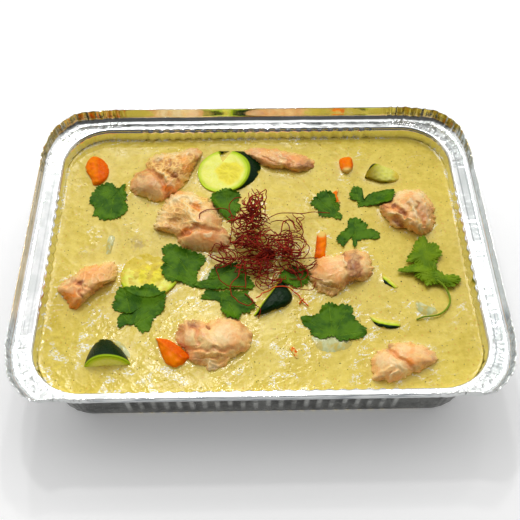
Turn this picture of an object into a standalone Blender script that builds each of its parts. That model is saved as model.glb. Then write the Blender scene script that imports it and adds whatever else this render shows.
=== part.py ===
"""Thai green curry in a foil catering tray.

The tray is a fluted shell with a flange and an upright crimping lip. The curry fills it to a few
millimetres below the flange, and is cut round the chicken, zucchini, carrot and onion that lie in it.
Coriander leaves and a nest of chilli threads lie on top. Run it with
blender --background --python part.py, or from Blender's text editor.

Lengths are in millimetres up to the meshes, which are in metres. Inside this file a position is given
from the centre of the tray's mouth, and the last step puts the footprint's centre on the origin.
"""

import math

import bmesh
import bpy
import numpy as np
from mathutils import Euler, Matrix, Vector
from mathutils.bvhtree import BVHTree

MM = 0.001
GAP = 0.3  # left between neighbouring pieces

# The tray's mouth, measured along the inner edge of its flange.
MOUTH_X = 290.0
MOUTH_Y = 220.8
CORNER_RADIUS = 34.0
FLANGE_HEIGHT = 52.0
WALL_TAPER = math.tan(math.radians(9.0))
FOIL = 0.4

# Flutes pressed in the walls.
FLUTE_PITCH = 8.19
FLUTE_DEPTH = 0.55
LONG_FLUTES = 22
SHORT_FLUTES = 13
CORNER_STEPS = 6
CORNER_PLEAT = 0.7

# The rim, each value for the front, the back, the two ends and the corners.
FLANGE_WIDTH = {"front": 7.8, "back": 9.5, "end": 13.2, "corner": 14.0}
LIP_REACH = {"front": 8.3, "back": 12.2, "end": 14.6, "corner": 17.0}
LIP_HEIGHT = {"front": 8.0, "back": 10.5, "end": 9.0, "corner": 9.8}
CORNER_FROM = 0.82  # a side's own rim starts where its outward direction is nearer to it than this

# The curry.
CURRY_LEVEL = 42.0
CURRY_CLEARANCE = FLUTE_DEPTH + 0.45
CURRY_RINGS = (1.0, 0.86, 0.62, 0.36, 0.14)
CURRY_ARC_STEPS = 5

# How finely and how thick the pieces are made.
CHICKEN_MERIDIANS = 12
CHICKEN_PARALLELS = 7
LOBE_BLEND = 9.0  # a higher power leaves a sharper valley between two lobes
CHICKEN_WRINKLE = 0.035
SLICE_SIDES = 16
CARROT_EDGE = 0.25  # rounding, as a share of the block's least side
ONION_THICKNESS = 1.2
LEAF_THICKNESS = 0.5
LEAF_OUTLINE = 24
LEAF_DRAPE = 5.5  # a leaf stays above everything within this distance

MATERIALS = {
    "foil": ((0.80, 0.81, 0.82), 0.25, 1.0),
    "sauce": ((0.70, 0.58, 0.15), 0.30, 0.0),
    "chicken": ((0.80, 0.48, 0.28), 0.45, 0.0),
    "zucchini": ((0.45, 0.58, 0.10), 0.35, 0.0),
    "carrot": ((0.90, 0.24, 0.02), 0.35, 0.0),
    "onion": ((0.62, 0.68, 0.45), 0.25, 0.0),
    "coriander": ((0.06, 0.16, 0.02), 0.45, 0.0),
    "chilli": ((0.20, 0.02, 0.01), 0.50, 0.0),
}

# Chicken: centre on the curry's surface, height of the centre above it, and the rounded lobes that
# make it up, each (offset, half sizes, turn in degrees).
CHICKEN = {
    "chicken_back_left": (
        (-70.0, 68.0, -0.5),
        (((-13.0, -7.0, 0.0), (15.0, 15.0, 9.5), 0), ((9.0, 9.0, 0.0), (22.0, 15.0, 11.5), 30)),
    ),
    "chicken_centre_left": (
        (-48.0, 24.0, 0.0),
        (((-7.0, 10.0, 0.0), (21.0, 18.5, 12.5), 0), ((10.0, -11.0, 0.0), (18.0, 13.0, 10.5), -6)),
    ),
    "chicken_back_centre": (
        (18.0, 84.0, -1.5),
        (((-5.0, 2.0, 0.0), (22.0, 9.0, 7.5), -10), ((15.0, -3.0, 0.0), (14.0, 8.0, 7.0), -10)),
    ),
    "chicken_right": (
        (107.0, 30.5, 0.5),
        (((5.0, 0.0, 0.0), (17.0, 20.5, 12.5), 0), ((-9.0, 1.0, 0.0), (12.0, 10.0, 8.0), 10)),
    ),
    "chicken_centre_right": (
        (57.5, -22.5, 0.0),
        (((-6.0, -2.0, 0.0), (15.0, 14.0, 10.5), 0), ((7.0, 3.0, 0.0), (14.0, 13.5, 10.5), 0)),
    ),
    "chicken_left": (
        (-118.0, -27.0, -0.5),
        (((4.0, 3.0, 0.0), (19.0, 11.0, 9.5), 26), ((-10.0, -6.0, 0.0), (11.5, 10.5, 9.0), -35)),
    ),
    "chicken_front_centre": (
        (-30.0, -76.0, 0.0),
        (
            ((-8.0, 3.0, 0.0), (17.5, 15.0, 11.0), 0),
            ((9.0, 3.5, 0.0), (16.5, 13.5, 10.5), 0),
            ((-4.0, -8.0, 0.0), (13.0, 9.0, 7.0), -12),
        ),
    ),
    "chicken_front_right": (
        (91.0, -87.5, -0.5),
        (((-6.0, -3.5, 0.0), (16.0, 12.0, 9.5), -8), ((6.0, 3.0, 0.0), (17.0, 9.5, 10.0), -24)),
    ),
}

# Zucchini slices: centre of the cut face, radius, thickness, the direction in which the face is
# raised and by how many degrees.
ZUCCHINI = {
    "zucchini_round": ((-25.0, 72.5, 4.6), 20.0, 9.0, 45.0, 15.0),
    "zucchini_half_sunk": ((-74.5, -18.0, 0.9), 20.5, 8.0, -70.0, 3.0),
    "zucchini_crescent_small": ((93.0, -20.5, -1.1), 9.5, 4.0, -125.0, 14.0),
    "zucchini_crescent": ((82.5, -47.0, -1.9), 16.0, 5.0, -97.0, 13.0),
    "zucchini_back_right": ((96.0, 70.5, 1.2), 14.0, 7.0, 160.0, 11.0),
}

# Zucchini chunks that show their skin: centre of the front end, radius, length, the far end's share
# of the radius, the direction in which the axis runs back, and how far it sinks, in degrees.
ZUCCHINI_CHUNKS = {
    "zucchini_front_left": ((-98.3, -90.8, -9.3), 18.75, 26.0, 0.96, 91.0, 24.0),
    "zucchini_centre": ((1.5, -35.0, -13.2), 23.0, 20.0, 0.8, -35.0, 27.0),
}

# Carrot: centre, size, turn and tilt in degrees, and how far the block narrows to one end.
CARROT = {
    "carrot_back_left": ((-121.5, 75.5, 0.0), (17.0, 27.0, 9.0), 14.0, 6.0, 0.78),
    "carrot_back_right": ((67.5, 79.5, 0.3), (11.5, 14.0, 8.0), 6.0, 8.0, 0.85),
    "carrot_by_leaf": ((59.0, 49.5, -1.2), (6.5, 12.5, 5.0), -12.0, 4.0, 0.7),
    "carrot_stick": ((44.0, 5.5, -0.4), (8.0, 23.0, 7.0), 0.0, 0.0, 0.95),
    "carrot_front_left": ((-56.0, -79.5, 0.3), (17.0, 23.0, 9.0), 217.0, -8.0, 0.3),
    "carrot_front_centre": ((21.2, -79.5, -0.6), (4.5, 9.5, 3.0), -32.0, 0.0, 0.6),
}

# Onion: centre, length and width, turn and how far the slip is bowed.
ONION = {
    "onion_left": ((-107.0, 10.0, 0.2), (16.5, 6.0), 86.0, 1.0),
    "onion_right": ((110.5, -47.5, 0.2), (17.0, 9.0), -30.0, 1.2),
    "onion_front_centre": ((45.0, -74.5, 0.2), (25.0, 10.0), -4.0, 1.0),
    "onion_front_left": ((-85.0, -71.5, 0.2), (14.0, 5.0), -56.0, 1.0),
    "onion_centre": ((-36.0, -19.0, 0.2), (15.0, 4.6), 55.0, 0.8),
}

# Pieces that lie against each other: the first is cut clear of the second.
MEETING = (
    ("carrot_front_left", "chicken_front_centre"),
    ("chicken_back_left", "zucchini_round"),
    ("chilli_threads", "carrot_stick"),
    ("chicken_left", "zucchini_half_sunk"),
)

# Coriander: centre, radius, stalk direction in degrees, stretch along the stalk, lobes and how deep
# they are cut. They are laid in this order.
CORIANDER = {
    "coriander_back_left": ((-109.0, 46.5), 15.8, 78.0, 1.04, 5, 0.16),
    "coriander_back_centre": ((-24.0, 41.5), 13.6, -72.0, 1.10, 3, 0.14),
    "coriander_right_of_centre": ((50.0, 41.0), 13.2, -52.0, 1.02, 3, 0.20),
    "coriander_back_right": ((85.0, 48.5), 14.8, -152.0, 0.92, 3, 0.50),
    "coriander_centre_right": ((71.0, 17.5), 15.6, -118.0, 0.92, 3, 0.42),
    "coriander_left_of_centre": ((-51.5, -10.5), 17.2, -28.0, 1.05, 3, 0.14),
    "coriander_centre_front": ((-21.5, -41.0), 15.6, 140.0, 1.05, 3, 0.20),
    "coriander_centre": ((-19.5, -20.5), 16.4, 170.0, 1.06, 3, 0.16),
    "coriander_front_left": ((-81.0, -45.0), 18.8, 40.0, 0.98, 5, 0.12),
    "coriander_front_right": ((49.5, -58.0), 19.6, 70.0, 0.86, 5, 0.20),
    "coriander_by_nest": ((27.5, -20.0), 11.2, 120.0, 1.0, 3, 0.18),
    "coriander_sprig": ((118.5, -14.0), 20.5, -62.0, 1.0, 3, 0.42),
}
SPRIG = "coriander_sprig"
SPRIG_LIFT = 4.0
SPRIG_STALK = 0.75  # radius of its stalk
SPRIG_ROUTE = (
    (123.0, -26.0, 3.0),
    (126.5, -31.0, 3.0),
    (128.5, -38.0, 2.6),
    (126.5, -46.0, 2.4),
    (119.5, -52.5, 3.0),
    (109.0, -56.0, 3.0),
    (99.5, -58.5, 1.8),
)

# The heap of chilli threads: centre, half sizes, height at its edge and in its middle.
NEST_CENTRE = (9.0, 4.0)
NEST_HALF = (32.0, 33.0)
NEST_EDGE = 2.0
NEST_HEIGHT = 30.0
NEST_SPOKES = 20
NEST_RINGS = (1.0, 0.8, 0.54, 0.26)
NEST_DRAPE = 9.0
NEST_LEAST = 1.5  # thickness where it lies on something high


def smooth(value):
    """0 below 0, 1 above 1, with an even start and end between them."""
    held = np.clip(value, 0.0, 1.0)
    return held * held * (3.0 - 2.0 * held)


def rim_value(values, outward_x, outward_y):
    """A rim size at a place whose outward direction is given, easing from a side's to a corner's."""
    span = 1.0 - CORNER_FROM
    corner = values["corner"]
    size = corner + (values["end"] - corner) * smooth((np.abs(outward_x) - CORNER_FROM) / span)
    size = size + (values["front"] - corner) * smooth((-outward_y - CORNER_FROM) / span)
    return size + (values["back"] - corner) * smooth((outward_y - CORNER_FROM) / span)


def side_steps(length, flutes):
    """Places along a straight side: its start, then a crest and a trough for every flute."""
    half = flutes * FLUTE_PITCH / 2
    inside = np.linspace(-half, half, 2 * flutes + 1)
    ripple = np.where(np.arange(len(inside)) % 2 == 0, -1.0, 1.0)
    places = np.concatenate(([-length / 2, -(length / 2 + half) / 2], inside, [(length / 2 + half) / 2]))
    return places, np.concatenate(([0.0, 0.0], ripple, [0.0]))


def round_path(steps_of_side, corner_steps, inset=0.0):
    """Once round the mouth: points, outward directions, the flutes' ripple and the corners' pleat."""
    points, outward, ripples, pleats = [], [], [], []
    half = (MOUTH_X / 2, MOUTH_Y / 2)
    radius = CORNER_RADIUS
    for side in range(4):
        turn = math.pi / 2 * side
        normal = np.array((math.sin(turn), -math.cos(turn)))
        along = np.array((math.cos(turn), math.sin(turn)))
        reach = half[1 - side % 2]
        run = half[side % 2] - radius
        places, ripple = steps_of_side(2 * run, side % 2)
        for place, wave in zip(places, ripple):
            points.append(along * place + normal * reach)
            outward.append(normal)
            ripples.append(wave)
            pleats.append(0.0)
        middle = along * run + normal * (reach - radius)
        for step in range(corner_steps):
            angle = math.pi / 2 * step / corner_steps
            direction = normal * math.cos(angle) + along * math.sin(angle)
            points.append(middle + direction * radius)
            outward.append(direction)
            ripples.append(0.0)
            pleats.append(0.0 if step == 0 else (-1.0) ** step)
    outward = np.array(outward)
    return np.array(points) - outward * inset, outward, np.array(ripples), np.array(pleats)


def fluted_side(length, is_end):
    return side_steps(length, SHORT_FLUTES if is_end else LONG_FLUTES)


def plain_side(length, is_end):
    count = 4 if is_end else 6
    return np.linspace(-length / 2, length / 2, count, endpoint=False), np.zeros(count)


def curry_relief(x, y):
    """The low swells of the thick sauce, in millimetres above its level."""
    swell = 0.30 * np.sin(x / 21.0 + 0.6) * np.sin(y / 17.0 - 0.4)
    swell = swell + 0.22 * np.sin((x + 1.6 * y) / 29.0 + 1.1)
    return swell + 0.16 * np.sin((1.3 * x - y) / 13.0 + 2.3)


def curry_surface(x, y):
    return CURRY_LEVEL + curry_relief(x, y)


def new_object(name, mesh, slot, collection):
    """Adds a mesh to the model under its node name, with the material of its slot."""
    item = bpy.data.objects.new(name, mesh)
    if slot:
        mesh.materials.append(bpy.data.materials[slot])
    collection.objects.link(item)
    return item


def mesh_of(name, points, faces):
    mesh = bpy.data.meshes.new(name)
    mesh.from_pydata((np.asarray(points) * MM).tolist(), [], faces)
    mesh.validate()
    mesh.update()
    return mesh


def ring_faces(rings, count):
    """Quads between neighbouring rings of a loft, each ring with the same number of points."""
    faces = []
    for ring in range(rings - 1):
        low, high = ring * count, (ring + 1) * count
        for step in range(count):
            after = (step + 1) % count
            faces.append((low + step, low + after, high + after, high + step))
    return faces


def make_materials():
    for name, (colour, roughness, metallic) in MATERIALS.items():
        material = bpy.data.materials.new(name)
        material.use_nodes = True
        shader = material.node_tree.nodes["Principled BSDF"]
        shader.inputs["Base Color"].default_value = (*colour, 1.0)
        shader.inputs["Roughness"].default_value = roughness
        shader.inputs["Metallic"].default_value = metallic


def make_tray(collection):
    """The food side of the foil as one open surface, thickened outwards with Solidify."""
    points, outward, ripple, pleat = round_path(fluted_side, CORNER_STEPS)
    width = rim_value(FLANGE_WIDTH, outward[:, 0], outward[:, 1])
    reach = rim_value(LIP_REACH, outward[:, 0], outward[:, 1])
    height = rim_value(LIP_HEIGHT, outward[:, 0], outward[:, 1])
    inset_at_foot = (FLANGE_HEIGHT - FOIL) * WALL_TAPER
    flute = ripple * FLUTE_DEPTH
    zero = np.zeros(len(points))
    profile = (
        (-inset_at_foot + flute, zero + FOIL),
        (flute * 0.6, zero + FLANGE_HEIGHT),
        (width, zero + FLANGE_HEIGHT + 0.3),
        (reach + pleat * CORNER_PLEAT, FLANGE_HEIGHT + height),
    )
    rings = [np.column_stack((points + outward * out[:, None], up)) for out, up in profile]
    count = len(points)
    faces = [tuple(range(count))] + [quad[::-1] for quad in ring_faces(len(rings), count)]
    tray = new_object("foil_tray", mesh_of("foil_tray", np.vstack(rings), faces), "foil", collection)
    wall = tray.modifiers.new("foil", "SOLIDIFY")
    wall.thickness = FOIL * MM
    wall.offset = -1.0
    wall.use_even_offset = True
    return tray


def make_curry(collection):
    """A loft from the tray's base to the curry's level, closed by rings that carry the swells."""
    foot = (FLANGE_HEIGHT - FOIL) * WALL_TAPER + CURRY_CLEARANCE
    top = (FLANGE_HEIGHT - CURRY_LEVEL) * WALL_TAPER + CURRY_CLEARANCE
    base, _, _, _ = round_path(plain_side, CURRY_ARC_STEPS, foot)
    edge, _, _, _ = round_path(plain_side, CURRY_ARC_STEPS, top)
    rings = [np.column_stack((base, np.full(len(base), FOIL + GAP)))]
    for share in CURRY_RINGS:
        flat = edge * share
        rings.append(np.column_stack((flat, curry_surface(flat[:, 0], flat[:, 1]))))
    count = len(edge)
    middle = np.array([[0.0, 0.0, curry_surface(0.0, 0.0)]])
    last = (len(rings) - 1) * count
    faces = [tuple(reversed(range(count)))] + ring_faces(len(rings), count)
    faces += [(last + step, last + (step + 1) % count, last + count) for step in range(count)]
    mesh = mesh_of("curry_sauce", np.vstack(rings + [middle]), faces)
    return new_object("curry_sauce", mesh, "sauce", collection)


def lobe_reach(directions, offset, half, turn):
    """How far each ray from the origin goes before it leaves an ellipsoid, or 0 where it misses."""
    spin = np.array(Matrix.Rotation(math.radians(-turn), 3, "Z"))
    ray = directions @ spin.T / half
    start = -(spin @ np.array(offset)) / half
    a = (ray * ray).sum(axis=1)
    b = (ray * start).sum(axis=1)
    c = (start * start).sum() - 1.0
    inside = b * b - a * c
    return np.where(inside > 0, (-b + np.sqrt(np.maximum(inside, 0.0))) / a, 0.0).clip(0.0)


def make_chicken(name, place, lobes, collection):
    """A UV sphere whose points move out to the soft union of the piece's lobes."""
    ball = bmesh.new()
    bmesh.ops.create_uvsphere(
        ball, u_segments=CHICKEN_MERIDIANS, v_segments=CHICKEN_PARALLELS, radius=1.0
    )
    ball.verts.ensure_lookup_table()
    directions = np.array([vert.co for vert in ball.verts])
    directions /= np.linalg.norm(directions, axis=1)[:, None]
    reach = sum(lobe_reach(directions, *lobe) ** LOBE_BLEND for lobe in lobes) ** (1 / LOBE_BLEND)
    wave = np.sin(7.0 * directions[:, 0] + 5.0 * directions[:, 1] + place[0])
    wrinkle = 1.0 + CHICKEN_WRINKLE * wave
    points = directions * (reach * wrinkle)[:, None]
    x, y, lift = place
    centre = np.array((x, y, curry_surface(x, y) + lift))
    for vert, point in zip(ball.verts, points + centre):
        vert.co = point * MM
    mesh = bpy.data.meshes.new(name)
    ball.to_mesh(mesh)
    ball.free()
    return new_object(name, mesh, "chicken", collection)


def cylinder_mesh(name, radius, length, segments, share=1.0):
    """A cylinder whose top face is at the origin and whose body runs down -Z. With a share under 1
    the far end is smaller."""
    solid = bmesh.new()
    bmesh.ops.create_cone(
        solid,
        cap_ends=True,
        segments=segments,
        radius1=radius * share * MM,
        radius2=radius * MM,
        depth=length * MM,
    )
    bmesh.ops.translate(solid, verts=solid.verts, vec=(0, 0, -length / 2 * MM))
    mesh = bpy.data.meshes.new(name)
    solid.to_mesh(mesh)
    solid.free()
    return mesh


def soften(item, width):
    """Takes the sharp edges off a piece of vegetable."""
    bevel = item.modifiers.new("edge", "BEVEL")
    bevel.width = width * MM
    bevel.segments = 1
    bevel.limit_method = "ANGLE"
    bevel.angle_limit = math.radians(50)


def make_slice(name, place, radius, thickness, raised, tilt, collection):
    """A round slice, its cut face tipped up in one direction."""
    x, y, lift = place
    item = new_object(name, cylinder_mesh(name, radius, thickness, SLICE_SIDES), "zucchini", collection)
    direction = math.radians(raised)
    axis = Vector((math.sin(direction), -math.cos(direction), 0.0))
    item.rotation_euler = Matrix.Rotation(math.radians(tilt), 4, axis).to_euler()
    item.location = Vector((x, y, curry_surface(x, y) + lift)) * MM
    return item


def make_chunk(name, place, radius, length, share, back, sink, collection):
    """A round chunk on its side: the cut end faces forward and the body sinks behind it."""
    x, y, lift = place
    item = new_object(name, cylinder_mesh(name, radius, length, SLICE_SIDES, share), "zucchini", collection)
    level, down = math.cos(math.radians(sink)), math.sin(math.radians(sink))
    azimuth = math.radians(back)
    body = Vector((level * math.cos(azimuth), level * math.sin(azimuth), -down))
    item.rotation_euler = (-body).to_track_quat("Z", "Y").to_euler()
    item.location = Vector((x, y, curry_surface(x, y) + lift)) * MM
    return item


def make_carrot(name, place, size, turn, tilt, narrow, collection):
    """A cut block with rounded edges, narrower at its front end."""
    block = bmesh.new()
    bmesh.ops.create_cube(block, size=1.0)
    for vert in block.verts:
        share = narrow if vert.co.y < 0 else 1.0
        vert.co = Vector((vert.co.x * size[0] * share, vert.co.y * size[1], vert.co.z * size[2])) * MM
    mesh = bpy.data.meshes.new(name)
    block.to_mesh(mesh)
    block.free()
    item = new_object(name, mesh, "carrot", collection)
    x, y, lift = place
    item.rotation_euler = Euler((math.radians(tilt), 0.0, math.radians(turn)))
    item.location = Vector((x, y, curry_surface(x, y) + lift)) * MM
    soften(item, min(size) * CARROT_EDGE)
    return item


def make_onion(name, place, size, turn, bow, collection):
    """A slip of onion: an oval sheet bowed across its width, thickened with Solidify."""
    along = np.linspace(-1.0, 1.0, 5)
    across = np.linspace(-1.0, 1.0, 3)
    u, v = (grid.ravel() for grid in np.meshgrid(along, across, indexing="ij"))
    half_width = size[1] / 2 * np.sqrt(np.clip(1.0 - 0.82 * u**2, 0.0, 1.0))
    points = np.column_stack((u * size[0] / 2, v * half_width, bow * (1.0 - v**2 - 0.5 * u**2)))
    faces = [(3 * i + j, 3 * i + j + 3, 3 * i + j + 4, 3 * i + j + 1) for i in range(4) for j in range(2)]
    item = new_object(name, mesh_of(name, points, faces), "onion", collection)
    x, y, lift = place
    item.rotation_euler = Euler((0.0, 0.0, math.radians(turn)))
    item.location = Vector((x, y, curry_surface(x, y) + lift)) * MM
    sheet = item.modifiers.new("sheet", "SOLIDIFY")
    sheet.thickness = ONION_THICKNESS * MM
    sheet.offset = 0.0
    return item


def leaf_reach(angle, lobes, cut):
    """The outline of a coriander leaf as distance from its middle. The angle is from the tip; the
    stalk is opposite. Wide lobes, with small teeth on them, and a notch where the stalk joins."""
    spread = math.pi * 0.80
    position = angle / spread * (lobes / 2.0)
    valley = 0.5 - 0.5 * np.cos(2 * math.pi * (position + 0.5 * (lobes % 2 == 0)))
    inside = smooth((1.0 - np.abs(angle) / spread) * 6.0)
    lobe = 1.0 - cut * valley**3 * inside
    teeth = 1.0 + 0.045 * np.cos(angle * 15.0)
    stalk = 1.0 - 0.42 * smooth((np.abs(angle) - spread) / (math.pi - spread))
    return lobe * teeth * stalk


def trees_of(items):
    """Search trees over the pieces as they are evaluated, in world space."""
    graph = bpy.context.evaluated_depsgraph_get()
    trees = []
    for item in items:
        evaluated = item.evaluated_get(graph)
        mesh = evaluated.to_mesh()
        points = [item.matrix_world @ vert.co for vert in mesh.vertices]
        trees.append(BVHTree.FromPolygons(points, [tuple(face.vertices) for face in mesh.polygons]))
        evaluated.to_mesh_clear()
    return trees


def height_over(x, y, trees, reach):
    """The highest of the curry and the pieces within reach of a place, in millimetres."""
    highest = curry_surface(x, y)
    spots = [(0.0, 0.0)]
    for ring in (0.5, 1.0):
        for step in range(10):
            angle = math.pi * step / 5
            spots.append((reach * ring * math.cos(angle), reach * ring * math.sin(angle)))
    for dx, dy in spots:
        start = Vector((x + dx, y + dy, 200.0)) * MM
        for tree in trees:
            hit = tree.ray_cast(start, Vector((0, 0, -1)))[0]
            if hit is not None:
                highest = max(highest, hit.z / MM)
    return highest


def make_leaf(name, middle, radius, stalk, stretch, lobes, cut, supports, collection):
    """A thin lobed leaf, laid over the curry and whatever lies under it."""
    stalk = math.radians(stalk)
    axis = np.array((-math.cos(stalk), -math.sin(stalk)))
    side = np.array((-axis[1], axis[0]))
    flat = [np.zeros((1, 2))]
    for share, count in ((0.55, LEAF_OUTLINE // 2), (1.0, LEAF_OUTLINE)):
        angle = -math.pi + 2 * math.pi * np.arange(count) / count
        reach = radius * share * leaf_reach(angle, lobes, cut)
        flat.append(
            np.outer(reach * np.cos(angle) * stretch, axis) + np.outer(reach * np.sin(angle), side)
        )
    flat = np.vstack(flat) + np.array(middle)
    trees = trees_of(supports)
    lift = SPRIG_LIFT if name == SPRIG else 0.0
    level = np.array([height_over(x, y, trees, LEAF_DRAPE) for x, y in flat])
    along = (flat - np.array(middle)) @ axis / radius
    level = level + lift * (1.0 - 0.5 * along**2) + GAP + 0.15
    half = LEAF_OUTLINE // 2
    faces = []
    for step in range(half):
        after = (step + 1) % half
        a, b = 1 + step, 1 + after
        o = 1 + half + 2 * step
        p = o + 1
        q = 1 + half + (2 * step + 2) % LEAF_OUTLINE
        faces += [(0, a, b), (a, o, p), (a, p, b), (b, p, q)]
    mesh = mesh_of(name, np.column_stack((flat, level)), faces)
    item = new_object(name, mesh, "coriander", collection)
    blade = item.modifiers.new("blade", "SOLIDIFY")
    blade.thickness = LEAF_THICKNESS * MM
    blade.offset = 1.0
    return item


def make_sprig_stalk(collection):
    """The bent stalk below the raised leaf, a tube along a smooth curve, then a welded mesh."""
    curve = bpy.data.curves.new("coriander_stalk", "CURVE")
    curve.dimensions = "3D"
    curve.resolution_u = 2
    curve.bevel_depth = SPRIG_STALK * MM
    curve.bevel_resolution = 0
    curve.use_fill_caps = True
    spline = curve.splines.new("BEZIER")
    spline.bezier_points.add(len(SPRIG_ROUTE) - 1)
    for point, (x, y, lift) in zip(spline.bezier_points, SPRIG_ROUTE):
        point.co = Vector((x, y, curry_surface(x, y) + lift - 0.3)) * MM
        point.handle_left_type = "AUTO"
        point.handle_right_type = "AUTO"
    rod = bpy.data.objects.new("coriander_stalk", curve)
    collection.objects.link(rod)
    graph = bpy.context.evaluated_depsgraph_get()
    mesh = bpy.data.meshes.new_from_object(rod.evaluated_get(graph))
    bpy.data.objects.remove(rod)
    solid = bmesh.new()
    solid.from_mesh(mesh)
    bmesh.ops.remove_doubles(solid, verts=solid.verts, dist=1e-6)
    solid.to_mesh(mesh)
    solid.free()
    return new_object("coriander_stalk", mesh, "coriander", collection)


def make_nest(supports, collection):
    """The heap of chilli threads, a solid between what lies under it and its uneven top."""
    trees = trees_of(supports)
    angle = 2 * math.pi * np.arange(NEST_SPOKES) / NEST_SPOKES
    uneven = 1.0 + 0.10 * np.sin(3 * angle + 0.8) + 0.06 * np.sin(5 * angle)
    outline = np.column_stack((np.cos(angle) * NEST_HALF[0], np.sin(angle) * NEST_HALF[1]))
    outline = outline * uneven[:, None]
    top, under = [], []
    for share in NEST_RINGS:
        flat = outline * share + np.array(NEST_CENTRE)
        floor = np.array([height_over(x, y, trees, NEST_DRAPE) for x, y in flat]) + GAP + 0.2
        dome = NEST_EDGE + (NEST_HEIGHT - NEST_EDGE) * (1.0 - share**2.1)
        lumps = 1.0 + 0.12 * np.sin(4 * angle + 9 * share) * share
        ceiling = curry_surface(flat[:, 0], flat[:, 1]) + dome * lumps
        ceiling = np.maximum(ceiling, floor + NEST_LEAST)
        under.append(np.column_stack((flat, floor)))
        top.append(np.column_stack((flat, ceiling)))
    x, y = NEST_CENTRE
    floor = height_over(x, y, trees, NEST_DRAPE) + GAP + 0.2
    rings = list(reversed(under)) + top
    points = np.vstack(rings + [[(x, y, floor)], [(x, y, curry_surface(x, y) + NEST_HEIGHT)]])
    count = NEST_SPOKES
    base, peak = len(points) - 2, len(points) - 1
    last = (len(rings) - 1) * count
    faces = ring_faces(len(rings), count)
    faces += [(base, (step + 1) % count, step) for step in range(count)]
    faces += [(peak, last + step, last + (step + 1) % count) for step in range(count)]
    name = "chilli_threads"
    return new_object(name, mesh_of(name, points, faces), "chilli", collection)


def pocket_cutters(items, collection):
    """For every sunk piece, a copy a gap larger all round, which cuts its pocket in the curry."""
    graph = bpy.context.evaluated_depsgraph_get()
    for item in items:
        mesh = bpy.data.meshes.new_from_object(item.evaluated_get(graph))
        mesh.transform(item.matrix_world)
        solid = bmesh.new()
        solid.from_mesh(mesh)
        bmesh.ops.remove_doubles(solid, verts=solid.verts, dist=1e-6)
        solid.normal_update()
        moves = [vert.normal * vert.calc_shell_factor() * (GAP * 1.1) * MM for vert in solid.verts]
        for vert, move in zip(solid.verts, moves):
            vert.co += move
        solid.to_mesh(mesh)
        solid.free()
        cutter = bpy.data.objects.new(item.name + "_pocket", mesh)
        cutter.hide_render = True
        cutter.display_type = "WIRE"
        collection.objects.link(cutter)


def split_faces(items):
    """Splits bent faces into triangles, so that a pocket and its piece bend alike."""
    for item in items:
        item.modifiers.new("triangles", "TRIANGULATE")


def cut_by(item, cutter):
    cut = item.modifiers.new(cutter.name, "BOOLEAN")
    cut.object = cutter
    cut.operation = "DIFFERENCE"


def centre_footprint(items):
    """Moves the whole model so that the middle of its footprint is on the origin."""
    graph = bpy.context.evaluated_depsgraph_get()
    tray = next(item for item in items if item.name == "foil_tray").evaluated_get(graph)
    mesh = tray.to_mesh()
    points = np.array([vert.co for vert in mesh.vertices])
    tray.to_mesh_clear()
    middle = (points.min(axis=0) + points.max(axis=0)) / 2
    shift = Vector((-middle[0], -middle[1], 0.0))
    for item in items:
        item.location += shift


def main():
    for item in list(bpy.data.objects):
        bpy.data.objects.remove(item)
    make_materials()
    model = bpy.data.collections.new("thai_green_curry")
    cutters = bpy.data.collections.new("cutters")
    for collection in (model, cutters):
        bpy.context.scene.collection.children.link(collection)

    tray = make_tray(model)
    curry = make_curry(model)
    chicken = [make_chicken(name, *sizes, model) for name, sizes in CHICKEN.items()]
    zucchini = [make_slice(name, *sizes, model) for name, sizes in ZUCCHINI.items()]
    zucchini += [make_chunk(name, *sizes, model) for name, sizes in ZUCCHINI_CHUNKS.items()]
    carrot = [make_carrot(name, *sizes, model) for name, sizes in CARROT.items()]
    onion = [make_onion(name, *sizes, model) for name, sizes in ONION.items()]
    bpy.context.view_layer.update()

    sunk = chicken + zucchini + carrot + onion
    split_faces([curry, *sunk])
    pocket_cutters(sunk, cutters)
    for cutter in cutters.objects:
        cut_by(curry, cutter)

    laid = list(sunk)
    for name, sizes in CORIANDER.items():
        laid.append(make_leaf(name, *sizes, laid, model))
        bpy.context.view_layer.update()
    stalk = make_sprig_stalk(model)
    nest = make_nest(laid, model)
    for cut, neighbour in MEETING:
        cut_by(bpy.data.objects[cut], bpy.data.objects[neighbour + "_pocket"])
    centre_footprint([tray, curry, *laid, stalk, nest, *cutters.objects])


main()
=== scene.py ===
"""Thai green curry in a foil catering tray: the looks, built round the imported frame.

Lengths are in millimetres from the centre of the tray's mouth, with heights from the plane that the
tray stands on, until a mesh is written, which is in the frame's metres. Every piece is one or more
surfaces worked out with numpy. The order of making is the sunk pieces, the sauce that rises against
them, the leaves that drape over both, and the heap of chilli threads.
"""

import math

import bpy
import numpy as np
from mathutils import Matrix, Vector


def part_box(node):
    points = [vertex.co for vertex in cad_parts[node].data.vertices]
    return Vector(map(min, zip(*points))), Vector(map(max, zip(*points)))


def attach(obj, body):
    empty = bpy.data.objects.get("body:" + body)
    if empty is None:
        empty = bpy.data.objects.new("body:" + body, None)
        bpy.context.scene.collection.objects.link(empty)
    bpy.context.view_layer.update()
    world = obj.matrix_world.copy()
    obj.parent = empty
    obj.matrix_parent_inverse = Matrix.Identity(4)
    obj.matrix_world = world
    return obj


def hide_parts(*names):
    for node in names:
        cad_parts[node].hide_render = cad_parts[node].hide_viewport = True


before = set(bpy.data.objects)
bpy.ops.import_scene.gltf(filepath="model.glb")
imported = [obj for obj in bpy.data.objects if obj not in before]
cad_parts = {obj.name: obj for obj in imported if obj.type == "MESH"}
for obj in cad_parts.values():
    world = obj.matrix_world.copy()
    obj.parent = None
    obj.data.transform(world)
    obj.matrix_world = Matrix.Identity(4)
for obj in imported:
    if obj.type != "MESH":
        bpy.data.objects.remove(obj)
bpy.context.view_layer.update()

MM = 0.001
curry_low, curry_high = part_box("curry_sauce")
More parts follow.
